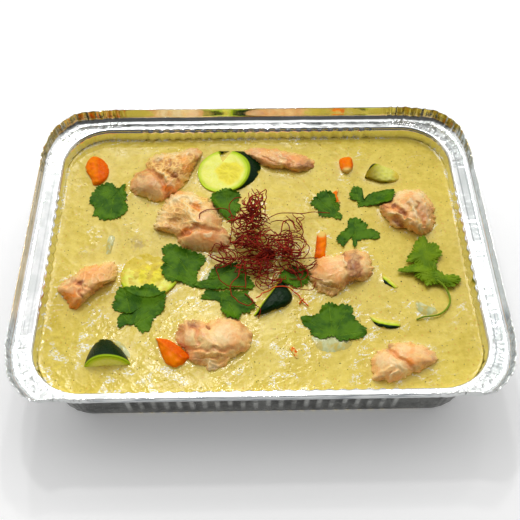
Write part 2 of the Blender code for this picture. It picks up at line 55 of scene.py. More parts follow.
MOUTH_CENTRE = np.array([(curry_low.x + curry_high.x) / 2, (curry_low.y + curry_high.y) / 2, 0.0])

# The tray.
MOUTH_HALF = np.array([145.0, 110.4])
CORNER_RADIUS = 34.0
FLANGE_HEIGHT = 52.0
WALL_TAPER = math.tan(math.radians(9.0))
FOIL = 0.2
HEEL = 3.6
FLUTE_PITCH = 8.19
FLUTE_DEPTH = 0.5
FLUTES = np.array([22, 13, 22, 13])
FLANGE_WIDTH = {"front": 7.8, "back": 9.5, "end": 13.2, "corner": 14.0}
LIP_REACH = {"front": 8.3, "back": 12.2, "end": 14.6, "corner": 17.0}
LIP_HEIGHT = {"front": 8.0, "back": 10.5, "end": 9.0, "corner": 9.8}
CORNER_FROM = 0.82
MOUTH_STEPS = 1400
# Round the rim: the bend from wall to flange, how much the flange rises, the fillet at the lip's
# foot, and the rolled edge's radius and the room it takes from the lip's reach and height.
BEND = 0.9
FLANGE_RISE = 0.25
LIP_FILLET = 4.6
ROLL = 0.35
ROLL_ROOM = (1.05, 0.4)

# The sauce: its level, its colours, and where meat lies just under it (place, radius and share).
CURRY_LEVEL = 42.0
SAUCE = (216, 190, 76)
SAUCE_PALE = (234, 212, 116)
STAINS = ((-85.5, 8, 4.5, 0.9), (-88, 13, 3.0, 0.5), (-105, 20, 2.5, 0.3))

# The food is laid out as it is seen from the front, over the level of the sauce. A point that stands
# above the sauce is moved along the line to this place, so that it still covers its spot.
SEEN_FROM = np.array([-7.8, -310.9, 437.8])

# Chicken: outline, middle, height, then bumps (x, y, radius, height), folds (height, half width,
# route; below 0 for a crease) and spots of tone (x, y, radius, share) for skin, warm, dark and pale.
# The dark spots are browned meat and painted shade in creases and hollows, and the pale spots are
# cream skin and painted highlights on crests and bumps.
CHICKEN = {
    "chicken_back_left": {
        "outline": [(-95.5, 60), (-94.5, 70), (-91.5, 75), (-85.5, 79), (-84, 86.5), (-79, 93.5),
                    (-73, 95), (-63, 95.5), (-57, 97), (-52, 100), (-46, 100), (-42, 95), (-44.5, 88),
                    (-47.5, 80), (-50, 74), (-53, 66.5), (-56.5, 61), (-60, 57), (-66, 51), (-72, 46),
                    (-79, 47.5), (-84, 50.5), (-91, 54)],
        "middle": (-69, 74), "height": 10.5,
        "bumps": [(-84, 62, 11, 1.5), (-62, 84, 14, 1.5)],
        "folds": [(-2.4, 2.2, [(-86, 79), (-79, 75.5), (-73, 70), (-70, 62), (-67, 51)]),
                  (1.2, 1.6, [(-78, 79), (-71, 74), (-66, 66), (-63, 60)]),
                  (-1.3, 1.4, [(-70, 76), (-63, 72), (-59, 66)]),
                  (1.5, 1.8, [(-82, 88), (-77, 91), (-70, 94), (-62, 93), (-54, 95)]),
                  (-1.1, 1.2, [(-78, 85), (-72, 87), (-64, 88)]),
                  (-1.2, 1.8, [(-46.5, 91), (-46, 83), (-48.5, 76)])],
        "skin": [(-64, 83, 17, 1), (-52, 84, 12, 0.9), (-78, 86, 8, 1)],
        "warm": [(-68, 61, 4, 0.9), (-53, 80, 6, 0.55), (-56, 88, 5, 0.4)],
        "dark": [(-74, 89, 2, 0.8), (-63, 74, 3.5, 0.75), (-66, 85, 2, 0.7), (-45, 87, 3, 0.9),
                 (-88, 74, 5, 0.55),
                 (-82, 62, 11, 0.35), (-66, 52, 5, 0.45)],
        "pale": [(-76, 91, 5, 0.8), (-66, 94, 4, 0.6), (-84, 57, 6, 0.3), (-50, 98, 5, 0.5)],
    },
    "chicken_centre_left": {
        "outline": [(-75, 22.5), (-74, 29), (-73, 35.5), (-70.5, 42), (-67, 49), (-64, 54), (-59, 56.5),
                    (-53, 56.5), (-48, 55), (-43, 51.5), (-37, 49), (-33, 45), (-29.5, 38), (-27, 31),
                    (-26, 24), (-22, 17.5), (-20, 11), (-23, 4.5), (-30, 1.5), (-38, 1.5), (-47, 2.5),
                    (-54, 5.5), (-57.5, 11), (-61, 16), (-68, 19)],
        "middle": (-47, 28), "height": 12.0,
        "bumps": [(-59, 27, 8, -5.5), (-36, 33, 10, 1.5), (-36, 11, 9, -1)],
        "folds": [(-3.0, 2.4, [(-58, 14), (-51, 19.5), (-45, 24), (-37, 21.5), (-27, 20)]),
                  (2.2, 2.8, [(-74, 23), (-73, 33), (-69, 42), (-62, 50), (-54, 52), (-47, 50), (-42, 46)]),
                  (1.2, 1.8, [(-54, 51), (-52, 44), (-47, 39)]),
                  (1.6, 2.2, [(-52, 40), (-48, 32), (-45, 26)]),
                  (-1.1, 1.2, [(-50, 45), (-45, 41), (-42, 40)]),
                  (-0.8, 1.5, [(-32, 44), (-29, 34)])],
        "skin": [(-60, 36, 20, 0.7), (-48, 46, 12, 0.9), (-70, 34, 8, 0.4)],
        "warm": [(-52, 19, 4, 0.8), (-46, 43, 4, 0.5), (-35, 14, 8, 0.4), (-30, 8, 6, 0.3)],
        "dark": [(-53, 18, 3, 0.8), (-59, 26, 7, 0.3), (-38, 4, 9, 0.15), (-73, 20.5, 2.5, 0.8),
                 (-31, 19, 4, 0.3)],
        "pale": [(-64, 50, 7, 0.8), (-73, 30, 5, 0.7), (-50, 51, 7, 0.8), (-36, 16, 3, 0.9),
                 (-36, 36, 9, 0.3),
                 (-26, 10, 5, 0.5)],
    },
    "chicken_back_centre": {
        "outline": [(-10, 95), (-6, 99), (0, 100), (9, 98.5), (17, 97.5), (26, 95), (34, 92.5), (41, 88),
                    (44, 82.5), (42, 77.5), (36, 74.5), (29, 75), (21, 78), (12, 78.5), (5, 81), (-1, 86),
                    (-7, 91)],
        "middle": (17, 88), "height": 7.0,
        "bumps": [(36, 82, 6, 1)],
        "folds": [(0.8, 1.6, [(12, 95), (18, 91), (24, 87)]), (-1.1, 1.5, [(22, 91), (26, 84), (25, 77)]),
                  (-0.6, 1.2, [(-2, 94), (8, 88), (16, 84)])],
        "skin": [(38, 82, 7, 0.2)],
        "warm": [(8, 90, 9, 0.3), (28, 86, 8, 0.35)],
        "dark": [(36, 80, 7, 0.8), (24, 81, 5, 0.5), (42, 80, 4, 0.9), (9, 85, 9, 0.35), (-3, 91, 5, 0.35)],
        "pale": [(17, 93, 4, 0.8), (2, 96, 6, 0.3)],
    },
    "chicken_right": {
        "outline": [(89, 37), (90, 41), (95, 44), (98, 46), (101, 51), (105, 54), (111, 55.5), (119, 55.5),
                    (124, 52.5), (127, 46), (129, 38), (128.5, 29), (127, 21), (122, 15), (115.5, 13.5),
                    (109.5, 16.5), (106, 19.5), (101, 19.5), (96.5, 21), (93.5, 27.5), (91, 32)],
        "middle": (111, 35), "height": 13.0,
        "bumps": [(119, 47, 8, 1.5), (101, 26, 7, -2), (97, 33, 4, 1)],
        "folds": [(-3.0, 2.2, [(95, 42), (100, 40), (105.5, 36.5), (108, 31)]),
                  (-2.5, 2.6, [(101, 29), (102.5, 24)]),
                  (2.0, 2.0, [(112, 46), (114.5, 35), (115.5, 27), (116, 18)]),
                  (1.2, 1.6, [(108, 34), (110, 26), (111.5, 18)]),
                  (-1.3, 1.4, [(117.5, 44), (119, 34), (120, 22)]),
                  (1.0, 1.6, [(123, 42), (124, 32), (123, 22)]),
                  (1.5, 1.8, [(99, 50), (105, 53), (113, 54), (121, 51)]),
                  (1.0, 1.5, [(94, 34), (97, 34), (99.5, 32)])],
        "skin": [(107, 49, 7, 0.35), (113.5, 38, 3.5, 0.8), (115.5, 25, 3.5, 0.9)],
        "warm": [(112, 20, 5, 0.3), (114, 30, 4, 0.35), (96, 38, 6, 0.25)],
        "dark": [(100, 41, 3, 0.9), (106, 36, 3.5, 0.95), (102.5, 25.5, 4, 0.95), (93, 39, 3.5, 0.8),
                 (121, 17, 3, 0.7), (123, 33, 8, 0.5), (116, 44, 8, 0.25)],
        "pale": [(121, 51, 5, 0.8), (104, 51, 6, 0.6), (114, 32, 4, 0.6), (115.5, 22, 3, 0.6),
                 (97, 33, 3, 0.7)],
    },
    "chicken_centre_right": {
        "outline": [(36, -14), (38.5, -8.5), (43, -5.5), (50, -4), (55, -3.5), (59, -2), (62, 0.5), (68, 1.5),
                    (74, -0.5), (77.5, -5.5), (79, -12), (78.5, -17.5), (75.5, -22), (71, -25), (65, -25.5),
                    (61, -27), (58, -31), (53.5, -34), (51, -37.5), (46, -37), (40, -34), (35.5, -27),
                    (34.5, -20)],
        "middle": (57, -16), "height": 10.5,
        "bumps": [(47, -14, 9, 0.8), (68, -12, 9, 0.8), (48, -33, 8, -3)],
        "folds": [(-1.7, 2.0, [(60, -1), (62, -10), (62.5, -20), (59, -28)]),
                  (1.0, 1.4, [(58.5, -5), (60, -12)]),
                  (-1.4, 1.8, [(36, -25), (45, -27.5), (54, -31)]), (0.7, 1.2, [(43, -25), (50, -27)]),
                  (-0.9, 1.4, [(70, -6), (71, -14), (69, -22)])],
        "skin": [(46, -33, 8, 1), (39, -26, 5, 0.8)],
        "warm": [(45, -13, 6, 0.4), (52, -20, 6, 0.2)],
        "dark": [(66, -12, 6, 0.9), (66.5, -4, 5, 0.7), (67, -20, 6, 0.8), (77, -20, 4, 0.6),
                 (59, -2, 2, 0.9),
                 (51, -37, 4, 0.7), (36.5, -29, 4, 0.4), (60, -25, 4, 0.3)],
        "pale": [(60, -9.5, 2.2, 0.9), (52, -8, 7, 0.4), (44, -27, 5, 0.6), (74, -10, 4, 0.35)],
    },
    "chicken_left": {
        "outline": [(-137.5, -29), (-135.5, -25), (-132, -20), (-128, -17.5), (-125, -14), (-122, -11),
                    (-118, -9.5), (-111.5, -8.5), (-106, -6.5), (-101, -6.5), (-99, -11), (-98, -19.5),
                    (-101, -22.5), (-106.5, -26), (-111, -31), (-115, -36), (-119, -40.5), (-123, -44.5),
                    (-127, -44), (-130, -39), (-134, -34)],
        "middle": (-118, -25), "height": 10.0,
        "bumps": [(-127, -35, 8, 1), (-110, -15, 10, 0.8)],
        "folds": [(-2.0, 1.5, [(-131, -26), (-127, -21.5), (-123.5, -23.5), (-121.5, -30), (-120, -40)]),
                  (-1.0, 1.6, [(-119, -26), (-113, -28.5), (-107, -25)]),
                  (0.7, 1.5, [(-121, -14), (-112, -11), (-104, -9)])],
        "skin": [(-112, -16, 14, 0.25), (-102, -16, 7, 0.5)],
        "warm": [(-130, -35, 7, 1), (-125, -41, 6, 0.9), (-116, -14, 9, 0.35), (-110, -24, 7, 0.3)],
        "dark": [(-123, -23, 2.5, 0.85), (-113, -30, 4, 0.5), (-117, -37, 3, 0.4), (-130, -20, 3, 0.4),
                 (-121, -33, 2, 0.6)],
        "pale": [(-129, -29, 3, 0.4), (-101, -10, 4, 0.3)],
    },
    "chicken_front_centre": {
        "outline": [(-55.5, -68), (-55, -62), (-53, -57.5), (-50, -55), (-45, -54), (-39, -55), (-35.5, -57),
                    (-32, -55), (-27.5, -53), (-21.5, -52), (-16, -54), (-11.5, -58), (-7, -62), (-5.5, -67),
                    (-6, -72), (-8, -77), (-13.5, -80), (-19, -83), (-21.5, -87), (-27, -90.5), (-31, -92.5),
                    (-34.5, -91.5), (-36, -88.5), (-41, -87), (-46, -85), (-47.5, -81), (-49, -76),
                    (-53, -73.5)],
        "middle": (-29, -71), "height": 10.5,
        "bumps": [(-24, -65, 9, 1), (-46, -66, 6, 1), (-30, -86, 9, -3.5)],
        "folds": [(-1.4, 1.6, [(-48, -56.5), (-42, -60), (-41.5, -72)]),
                  (-1.2, 1.5, [(-53, -63), (-52, -72)]),
                  (-1.2, 1.8, [(-49, -76.5), (-38, -76), (-24, -77), (-9, -75)]),
                  (-1.0, 1.3, [(-46, -81), (-34, -82), (-21, -82)]),
                  (1.0, 1.5, [(-34.5, -85.5), (-32, -88), (-28, -88.5), (-25, -87)]),
                  (-1.2, 1.5, [(-35, -90), (-31, -92), (-27, -90)]),
                  (0.7, 2.0, [(-38, -58), (-37, -68), (-30, -73)]),
                  (-2.0, 1.4, [(-34.5, -56), (-34.5, -60)])],
        "skin": [(-32, -86, 10, 0.6), (-12, -70, 6, 0.2)],
        "warm": [(-18, -72, 4, 0.3)],
        "dark": [(-45, -57, 4.5, 0.7), (-53, -61, 4, 0.6), (-34.5, -59.5, 2.2, 0.9), (-30, -92, 4, 0.9),
                 (-11, -60, 4, 0.5), (-6, -67, 3, 0.5), (-42, -84, 4, 0.4), (-50, -74, 3, 0.35)],
        "pale": [(-24, -64, 8, 0.75), (-31, -88, 4, 0.8), (-47, -66, 4.5, 0.6), (-20, -70, 5, 0.4)],
    },
    "chicken_front_right": {
        "outline": [(70, -90), (70.5, -85), (73, -81.5), (77, -78.5), (81, -77), (83, -74), (88, -73),
                    (95, -73.5), (101, -74.5), (106.5, -76.5), (110, -80), (113, -84), (113, -87),
                    (109, -89.5), (104, -92.5), (99.5, -95), (94, -96), (90, -99), (85.5, -100.5), (81, -102),
                    (77, -100.5), (71.5, -101), (69, -99), (70, -94.5)],
        "middle": (89, -87), "height": 9.5,
        "bumps": [(82, -88, 9, 1), (101, -82, 8, 0.5)],
        "folds": [(-2.0, 1.6, [(82, -77), (87.5, -83), (92, -87), (97, -94)]),
                  (0.7, 1.6, [(84, -84), (88, -89), (92, -93)]),
                  (0.8, 1.3, [(85.5, -94), (80.5, -99)]), (-0.4, 1.4, [(73, -96), (82, -95.5)])],
        "skin": [(98, -79, 10, 0.05)],
        "warm": [(85.5, -80.5, 3, 0.5), (95.5, -87, 3.0, 0.8), (102, -81, 8, 0.22)],
        "dark": [(105, -89.5, 3.5, 0.4), (99, -93, 3, 0.35), (75, -100, 4, 0.5), (112, -85, 3, 0.35),
                 (83, -75.5, 3, 0.6)],
        "pale": [(80, -84, 8, 0.5), (83, -96, 2.2, 0.8), (89, -90, 5, 0.5), (92, -77, 5, 0.5),
                 (103, -79, 5, 0.4)],
    },
}

# Zucchini slices: centre of the cut face, radius, thickness, direction raised and degrees, then the
# body's slant (direction, share of its depth), the seedy middle's offset and the sauce's cover.
SLICES = {
    "zucchini_round": ((-26.0, 73.0, 3.4), 19.6, 9.0, 45.0, 7.0, (25.0, 1.5), (5.0, -1.5), 0.4),
    "zucchini_half_sunk": ((-75.5, -18.0, 1.0), 20.0, 8.0, -80.0, 4.0, (0.0, 0.0), (1.0, 0.5), 1.0),
}
# Seedy lumps of the half-sunk slice that stand clear of the sauce: centre, radius and share.
SUNK_SEEDS = [(-78, -16, 5.5, 1.0), (-70.5, -20, 4.5, 1.0), (-69, -12.5, 4.5, 0.9), (-85, -18, 3.5, 0.6)]
# Zucchini chunks: centre of the front end, radius, length, far share, direction back, sink and how
# far the pale rim runs over the skin.
CHUNKS = {
    "zucchini_front_left": ((-98.2, -88.2, -5.4), 15.8, 27.0, 0.36, 92.0, 10.0, 0.3),
}
# Zucchini pieces with their skin up: outline, middle, height, the flesh's line and how far it
# reaches, how much sauce veils that line, how much olive tint with painted shade the flesh takes,
# darker towards the left and the bottom, and spots under sauce.
RINDS = {
    "zucchini_crescent_small": (
        [(84.6, -19.6), (87, -21.2), (89.3, -23.6), (92.2, -27.3), (94.6, -30.6), (92.5, -32.1),
         (89.9, -30.9), (86.9, -28.8), (84.8, -26.5)],
        (88.2, -26.8), 1.3, [(84.8, -19), (87.4, -20.8), (89.8, -23.3), (92.8, -27),
                             (95, -30.2)], 3.9, 1.0, 0.0, []),
    "zucchini_crescent": (
        [(72.4, -52.8), (75.8, -53.9), (79.5, -55.3), (84.4, -56.4), (88.2, -56.9), (91.9, -57.5),
         (92, -61.7), (88.9, -62.8), (85, -63), (80.1, -62.2), (75.9, -60), (73.3, -56)],
        (83.5, -60), 1.8, [(73.6, -51.8), (76.4, -53.2), (79.9, -54.6), (84.5, -55.6),
                           (92, -56.6)], 4.6, 1.0, 0.0, []),
    "zucchini_back_right": (
        [(81, 68.5), (84.4, 75.5), (89.6, 81.7), (97.7, 78.3), (105.5, 73.1), (107, 67.1), (103.5, 63.2),
         (93.6, 61.9), (86.3, 64.9), (82, 67)],
        (93.0, 70.5), 3.4, [(90.5, 69), (95, 74), (104, 68)], 8.4, 0.0, 1.0,
        [(108, 69, 6, 1.0), (106, 74, 3, 0.8), (103, 62, 2.5, 0.6)]),
    "zucchini_centre": (
        [(-4.5, -51.6), (-2.2, -46.9), (1.8, -40.6), (5.6, -35.1), (9.5, -29.5), (12.3, -24.4), (14.6, -23.8),
         (17.8, -28.1), (21.3, -34.6), (21.8, -38.2), (20, -42.2), (15.7, -45.4), (7.5, -48.4), (0.9, -50.8)],
        (9.5, -38.0), 5.5, [(-5, -51.6), (1.4, -40.2), (9.2, -29.1), (12.2, -24)], 1.3, 0.0, 0.0, []),
}
# Carrot: outline, middle, height, then a line along which the top is painted brighter on its left
# side, as its lit side, and spots under sauce (x, y, radius).
CARROT = {
    "carrot_back_left": (
        [(-130, 86), (-128, 90.7), (-124.5, 92.5), (-119.5, 90), (-115, 85), (-112.5, 79), (-112.5, 72.5),
         (-114.5, 67.5), (-118, 63.7), (-123, 63.7), (-125, 69), (-128.5, 74.8), (-130.5, 80)],
        (-121, 78), 4.4, ((-119, 66), (-123, 92)), ()),
    "carrot_back_right": (
        [(63, 85), (65.5, 87.5), (70.5, 88.7), (73, 86.7), (73.5, 80.5), (72, 75.5), (68, 72), (64.5, 74),
         (63, 79)],
        (68.5, 80.5), 4.6, ((72, 74), (72, 88)), ((68.5, 74.5, 4.5),)),
    "carrot_by_leaf": (
        [(56, 54), (58, 55.5), (60.5, 56.5), (59, 52), (60, 47), (61, 44), (57.5, 43.5), (56.5, 48.5),
         (55.5, 51.5)],
        (58, 50), 2.0, ((59, 44), (59, 56)), ((60.5, 56, 2.0), (61, 44, 2.4))),
    "carrot_stick": (
        [(41.5, 13.7), (43, 16.5), (45.5, 17.6), (48.2, 16), (48.2, 9.5), (47.6, 4), (46.8, -0.5),
         (45.5, -6.2),
         (38.5, -7), (39.3, -0.5), (40.5, 7.3)],
        (43.5, 6), 4.2, ((43, 17), (43, -7)), ((45, 16, 3.8),)),
    "carrot_front_left": (
        [(-68.5, -67.5), (-63.5, -68), (-60, -69), (-54.7, -72.5), (-50.3, -76), (-47.2, -79.5), (-46, -82),
         (-48.2, -84.3), (-50.5, -87), (-54.5, -89.3), (-58.7, -88.2), (-62.3, -84.3), (-65.2, -77.5),
         (-67.3, -71.2)],
        (-57, -79), 5.0, ((-48.5, -86), (-66.5, -69)), ()),
    "carrot_front_centre": (
        [(18, -76), (20, -75), (23, -79), (24, -83.5), (22, -84), (20, -80)], (21.5, -79.5), 1.4,
        ((20, -84), (20, -76)), ()),
}
# Onion: outline and middle.
ONION = {
    "onion_left": ([(-107.5, 1), (-108, 8), (-107, 15), (-104.5, 17), (-102.5, 15), (-103, 8), (-104, 1.5),
                    (-106, 0)], (-105.5, 8.5)),
    "onion_right": ([(105.5, -42), (112, -45.5), (117, -48), (118.5, -51), (115, -53), (107.5, -53),
                     (104, -47)], (110, -48.5)),
    "onion_front_centre": ([(33, -69), (40, -67), (52, -68), (59, -72), (55, -78), (44, -80), (36, -77)],
                           (46, -73)),
    "onion_front_left": ([(-99, -67.5), (-93.5, -68.8), (-88.5, -72.5), (-85, -77.5), (-84, -82),
                          (-86.5, -82),
                          (-90.5, -77), (-95, -71.5)], (-90, -74)),
    "onion_centre": ([(-40, -23), (-37, -18), (-33, -12), (-31.5, -12.5), (-33, -18), (-37, -25)],
                     (-35.5, -19)),
}
# Coriander: outline, middle, where the stalk joins, and the ends of the main veins.
CORIANDER = {
    "coriander_back_left": (
        [(-108.5, 30.5), (-114.5, 31), (-116.5, 34), (-120, 34.5), (-119.5, 39.5), (-120.5, 44),
         (-123.5, 46.5), (-124, 51), (-123, 55.5), (-121, 59), (-120, 62), (-116, 64.5), (-112.5, 66),
         (-108.5, 65), (-106.5, 62), (-104.5, 60.3), (-101.5, 61.5), (-100.5, 64.5), (-98.8, 63),
         (-99.3, 59), (-97.5, 55), (-96.7, 51), (-98, 47.5), (-95.7, 44), (-95.7, 39), (-98, 35.5),
         (-103.5, 31.5)],
        (-109, 49), (-105.5, 60), [(-108, 31), (-119, 36), (-123, 52), (-116, 63), (-97, 42)]),
    "coriander_back_centre": (
        [(-19.5, 26), (-17.5, 29.5), (-16, 35), (-13.5, 38.5), (-13, 43), (-15, 46), (-13, 51), (-14, 55),
         (-18, 57), (-21.5, 59), (-25.5, 58.8), (-28.5, 56.7), (-32, 55), (-34.4, 52.5), (-34.5, 49),
         (-32, 44), (-29.5, 39.5), (-26, 34.5), (-23, 30.5), (-21, 28)],
        (-22.5, 46), (-20, 27), [(-24, 58), (-33, 51), (-15, 52), (-14, 42)]),
    "coriander_right_of_centre": (
        [(38.8, 43.6), (41.5, 48.3), (44, 52), (47.5, 55), (52.7, 55.6), (56.3, 53.5), (57.7, 49.4),
         (57.5, 45.5), (59.8, 43), (60, 40), (58.5, 36), (61, 33), (60.3, 28.8), (58, 29.3), (52.6, 30.8),
         (47, 31.6), (44, 33.4), (43.8, 37), (41.5, 40.5)],
        (50, 42), (59.5, 29.5), [(43, 50), (52, 55), (40, 43), (46, 33), (58, 44)]),
    "coriander_back_right": (
        [(68.4, 52), (70.5, 57), (72.5, 59.5), (77.5, 58), (78, 53.7), (77.8, 49.5), (79, 47.5), (81.5, 50.5),
         (85.5, 53.2), (90, 54.2), (96, 55.8), (101, 56), (102, 53.5), (99.5, 47.5), (97, 45), (92, 44.2),
         (87, 42), (79, 41), (74, 40.4), (74, 44), (72.5, 46.3), (69, 47.5)],
        (78.5, 44.8), (75, 41), [(73, 58), (101, 54), (70, 50), (92, 45)]),
    "coriander_centre_right": (
        [(55.5, 11), (58, 15), (60.2, 17.8), (62.8, 19.8), (64.7, 22.8), (65, 26.8), (66.8, 29.3),
         (70.5, 30), (74.3, 28.5), (76, 26.5), (78.5, 24.5), (78.5, 21.8), (77, 19.8), (81.6, 19.8),
         (84.5, 17.8), (86.6, 15.8), (86, 11.3), (83, 10.8), (77.3, 10.8), (72, 10), (70, 8), (69, 4.5),
         (66.8, 5), (67, 9.5), (66, 12), (64.5, 10.5), (61.5, 12), (60, 4.5), (58, 5.5)],
        (69, 16.5), (68, 5), [(70.5, 29), (85, 13), (57, 10)]),
    "coriander_left_of_centre": (
        [(-63.3, 8.6), (-67, 6.2), (-68.5, 3.8), (-67.5, 0.5), (-65.8, -1.4), (-68, -4), (-66, -7.5),
         (-68, -10.7), (-67.3, -15.4), (-65.2, -19.5), (-64, -21.8), (-59.5, -23.2), (-55.5, -23),
         (-52, -25), (-48.5, -27), (-45.5, -28.6), (-42, -28), (-43, -22), (-43, -17), (-41, -12),
         (-38, -8), (-37.6, -4), (-40, -1), (-45, 1), (-49, 3), (-53, 4.3), (-56, 6.2), (-59, 7.7)],
        (-53, -9), (-43, -27), [(-63, 7), (-67, -6), (-66, -17), (-39, -5), (-52, 3)]),
    "coriander_centre_front": (
        [(-39.5, -38), (-39, -35), (-35.5, -30.5), (-32, -31), (-28.5, -32), (-23.5, -31.5), (-18.5, -30.5),
         (-15, -32), (-10, -31.5), (-8, -32.5), (-7.5, -36.5), (-4, -40.5), (-3.5, -44.5), (-7, -47),
         (-8, -49), (-12.5, -49), (-14, -53), (-16, -53.5), (-18.5, -52), (-22, -52), (-23.5, -49.5),
         (-26, -47), (-26.5, -43), (-28, -40), (-32, -38), (-36, -37)],
        (-19, -40), (-27, -31), [(-15, -53), (-5, -44), (-9, -33), (-38, -37), (-25, -47)]),
    "coriander_centre": (
        [(-30, -11), (-23.5, -10), (-17, -8.5), (-11.5, -11.5), (-9, -17), (-6.5, -22), (-4, -26.5),
         (-5, -29.5), (-10, -30), (-18.5, -29.5), (-27, -30), (-34, -30), (-40.5, -29), (-43.5, -27.5),
         (-46, -26.5), (-43.5, -24.5), (-39, -23), (-35.5, -21.5), (-34, -16.5)],
        (-23, -21), (-44, -26), [(-28, -11), (-12, -12), (-5, -28)]),
    "coriander_front_left": (
        [(-95.6, -28), (-92, -27.8), (-89, -27.2), (-85.3, -26.5), (-82, -28), (-78.6, -25.6),
         (-73.4, -25.6), (-70, -28.2), (-68, -31), (-64, -31.8), (-64, -37), (-64.3, -42.3), (-65.5, -47.4),
         (-70, -51.7), (-72, -56), (-72.5, -60.2), (-76, -63.1), (-79.6, -62), (-82, -58.5), (-86, -57),
         (-90, -57.5), (-93, -59.3), (-94.4, -56), (-94.5, -51.7), (-93, -49.3), (-85.5, -48), (-93.5, -47.3),
         (-97.3, -45.7), (-99, -41.8), (-97.8, -38), (-98, -34.4), (-96.8, -31)],
        (-80, -44), (-84, -58), [(-92, -29), (-76, -27), (-65, -36), (-98, -42), (-74, -62), (-66, -46)]),
    "coriander_front_right": (
        [(26.9, -54), (28.5, -52), (33.6, -52.3), (37.2, -51), (40, -49), (40.5, -46.3), (42.6, -43.7),
         (46.3, -42), (49.6, -42.8), (52, -44.5), (54.3, -43.5), (58.2, -44), (61, -45.4), (62, -48),
         (61.3, -50.6), (62.3, -54), (64.3, -57), (66.3, -59.6), (68.5, -61.3), (69.5, -63.3),
         (68.5, -67.5), (65.5, -69.1), (61.5, -70.3), (58, -70), (54.3, -71.2), (50.6, -70.8), (48.6, -68.5),
         (44.3, -68), (40.5, -70), (36.3, -68.3), (32.8, -65.8), (32.6, -62.5), (30.2, -60.8), (28, -57.9)],
        (49, -57.5), (47, -68), [(29, -54), (46, -43), (59, -46), (68, -65), (34, -65), (56, -70)]),
    "coriander_by_nest": (
        [(13.5, -23), (14.5, -17.5), (18.5, -14.5), (23, -11.5), (27, -12.5), (30, -11.5), (33, -15),
         (34, -20), (33.5, -24), (31.5, -27), (28, -29), (24, -29.5), (21, -27), (16.5, -25.5)],
        (24, -20), (24, -29), [(30, -13), (15, -19), (33, -22)]),
}
# The raised sprig's three leaflets, as above, and its stalk's route with heights above the sauce.
SPRIG = "coriander_sprig"
SPRIG_LEAFLETS = [
    ([(117.5, 12.5), (119.5, 11), (120.5, 6.5), (124, 6.5), (126.5, 5), (128, 1), (128.5, -4), (125.5, -7),
      (124, -11), (123, -15), (124, -19), (119, -20), (114, -18), (108.5, -11), (104, -10), (103, -8),
      (105, -4), (108, -0.5), (110, 5.5), (112.5, 8.5), (114.5, 11)],
     (116, -4), (119, -21), [(117, 11), (126, 3), (104, -9)]),
    ([(95.5, -17.5), (97.5, -15.5), (103, -13.5), (108.5, -11.5), (114, -12), (120, -15), (124, -20),
      (124, -28), (119, -28.5), (114.5, -29.5), (110.5, -25), (107.5, -22.5), (106.5, -18.5), (103, -18.5),
      (99.5, -19)],
     (114, -18.5), (122, -22), [(97, -17), (112, -27), (106, -14)]),
    ([(120, -17), (126.5, -18.5), (127, -20.5), (133, -20.5), (137, -21.5), (138.5, -25), (135, -28.5),
      (130.5, -31), (126, -29.5), (122, -28), (118, -24)],
     (127.5, -24.5), (121, -23), [(137, -24), (130, -30), (131, -21)]),
]
SPRIG_LIFT = 4.2
SPRIG_STALK = 0.75
SPRIG_ROUTE = [(122, -25, 4.2), (126, -29.5, 3.8), (128, -35, 3), (128.5, -40, 2.4), (127.5, -44, 2),
               (125, -48, 1.8), (120, -52, 2.2), (114.5, -53.5, 2.4), (109, -54, 2.2), (103.5, -56, 1.4)]

